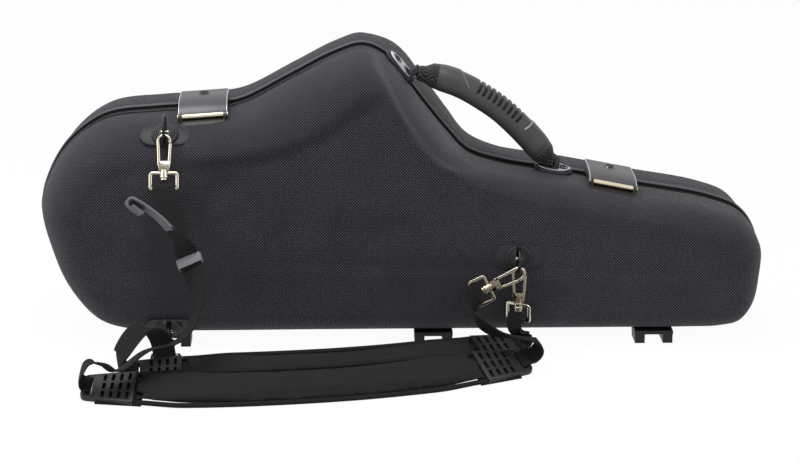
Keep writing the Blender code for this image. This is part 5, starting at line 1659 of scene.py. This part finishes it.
def latchBar(bar):
    rings = []
    for share, radius in latchSizes["bar"]:
        x = share * (latchSizes["width"] / 2 + latchSizes["barOver"])
        rings.append([(x, bar.y + radius * math.cos(t), bar.z + radius * math.sin(t)) for t in around(24)])
    return lofted(rings)


def latch(tag, share):
    s = latchSizes
    place = outlineFrame(share, s["sink"])
    bar = place.inverted() @ Vector(joints[f"{tag}_latch_cover_flap"]["pos_m"])
    crown = latchCrown(bar)
    skin, trims = latchSkin(crown)
    node = f"{tag}_latch_cover"
    standIn(f"{tag}LatchCover", joined([skin, *latchCheeks(bar, crown)]), "latch", node, 30, place)
    bright = joined([tube(trim[3:], s["trim"], 6) for trim in trims])
    added(f"{tag}LatchTrim", bright, "edge", node, 60, place)
    standIn(f"{tag}LatchBar", latchBar(bar), "gold", f"{tag}_latch_bar", 40, place)
    lock = Matrix.Translation(joints[f"{tag}_lock_turn"]["pos_m"]) @ place.to_3x3().to_4x4()
    face, (wide, narrow) = s["thick"] + 1.1 * mm, s["keyhole"]
    # A near-black disc in the lock's face, as painted shade inside the keyway
    well = lathe([(face - 0.3 * mm, wide), (face + 0.06 * mm, wide), (face + 0.06 * mm, narrow)], 28)
    added(f"{tag}Keyhole", well, "hollow", f"{tag}_lock", 30, lock)


for tag, share in latchSizes["shares"].items():
    latch(tag, share)
print("latches made")

# CAD pieces that keep their shape and get a finish
finishes = {
    "hinge": [node for node in nodes if "_hinge_" in node],
    "latch": ["left_latch_keeper", "right_latch_keeper"],
    "latchBase": ["left_latch_base", "right_latch_base"],
    "bright": ["left_lock", "right_lock"],
}
for look, members in finishes.items():
    for member in members:
        nodes[member].data.materials.clear()
        nodes[member].data.materials.append(looks[look])

fitting = {
    "length": 46 * mm,
    "half": 21.5 * mm,
    "farHalf": 15.5 * mm,
    "thick": 5 * mm,
    "corner": 6 * mm,
    "bar": 5 * mm,
    "window": (4.3 * mm, 22.6 * mm),
    "slot": (3 * mm, 10 * mm),
    "columns": 4,
    "pitch": 7 * mm,
    "row": 12.4 * mm,
    "tongue": ((-7 * mm, -22 * mm), (33 * mm, -19 * mm), (33 * mm, 19 * mm), (-7 * mm, 22 * mm)),
}


def padEnd():
    # Moulded end of a pad: rows of long slots, a window and the bar that the webbing goes round
    s = fitting
    half, far, corner, end, thick = s["half"], s["farHalf"], s["corner"], s["length"], s["thick"]
    outline = [(0.3 * mm, half), (0.3 * mm, -half)]
    outline += [(end - corner + x, -far + corner + y) for x, y in arc(corner, -80, 0, 5)]
    outline += [(end - corner + x, far - corner + y) for x, y in arc(corner, 0, 80, 5)]
    cuts = [(end - s["bar"] - s["window"][0], 0, *s["window"])]
    for column in range(s["columns"]):
        narrow = 1 - 0.05 * column
        for row in (-1, 0, 1):
            wide, long = s["slot"]
            cuts.append((s["pitch"] * (column + 0.62), row * s["row"] * narrow, wide, long * narrow))
    holes = []
    for x, y, wide, long in cuts:
        section = roundedBox(wide, long, 0.7 * mm)
        holes.append(lofted([[(x + wide / 2 + p.x, y + p.y, z) for p in section] for z in (-thick, thick)]))
    return carved(plate(outline, -thick / 2, thick / 2, 0.9 * mm), joined(holes))


for name in ("front", "rear"):
    for word, end in (("left", 0), ("right", -1)):
        place = fittingFrame(name, end)
        title = name + word.capitalize()
        standIn(f"{title}Fitting", padEnd(), "fitting", f"{name}_pad_{word}_end", 35, place)
        # A dark cloth sheet inside the fitting, under its slots, which makes them dark
        tongue = plate(fitting["tongue"], -2.6 * mm, -0.9 * mm, 0.5 * mm)
        added(f"{title}Tongue", tongue, "binding", f"{name}_pad", 40, place)
print("fittings made")


def pavedFloor():
    grid = bmesh.new()
    bmesh.ops.create_grid(grid, x_segments=1, y_segments=1, size=6)
    made = shown("floor", meshOf("floor", grid))
    made.location.z = -0.2 * mm
    look = Look("floorPaint", 0.9)
    look.shader.inputs["Base Color"].default_value = shade((238, 238, 240))
    # What is seen directly is nearly white, and the rest keeps the object's shadow
    glow = look.node("ShaderNodeEmission", {}, {"Color": (1, 1, 1, 1), "Strength": 1.0})
    plain = Wire(look, look.shader.outputs[0])
    mixed = look.node("ShaderNodeMixShader", {}, {0: look.seenDirectly() * 0.96, 1: plain, 2: glow})
    look.tree.links.new(mixed.socket, look.tree.nodes["Material Output"].inputs[0])
    made.data.materials.append(look.material)


def room():
    world = bpy.data.worlds.new("room")
    bpy.context.scene.world = world
    world.use_nodes = True
    sky = Wiring(world.node_tree)
    backdrop = sky.tree.nodes["Background"].inputs
    backdrop["Color"].default_value = (1, 1, 1, 1)
    # White to look at, and a plain level of light on the object
    level = sky.node("ShaderNodeMix", {}, {0: sky.seenDirectly(), 2: 0.36, 3: 1.0})
    sky.tree.links.new(level.socket, backdrop["Strength"])


lamps = (
    {"name": "top", "at": (-0.25, -0.25, 1.6), "aim": (0, 0.0, 0.12), "size": (1.8, 0.7), "power": 26},
    {"name": "key", "at": (-1.5, -1.1, 1.3), "aim": (0, 0, 0.12), "size": (0.9, 0.9), "power": 13},
    {"name": "fill", "at": (1.5, -1.3, 0.9), "aim": (0.1, 0, 0.12), "size": (1.0, 1.0), "power": 7},
)


def light(lamp):
    data = bpy.data.lights.new(lamp["name"], "AREA")
    data.shape = "RECTANGLE"
    data.size, data.size_y = lamp["size"]
    data.energy = lamp["power"]
    made = shown(lamp["name"], data)
    made.location = lamp["at"]
    made.rotation_euler = (Vector(lamp["aim"]) - Vector(lamp["at"])).to_track_quat("-Z", "Y").to_euler()


pavedFloor()
room()
for lamp in lamps:
    light(lamp)
bpy.context.scene.view_settings.view_transform = "Standard"
print("stage lit")
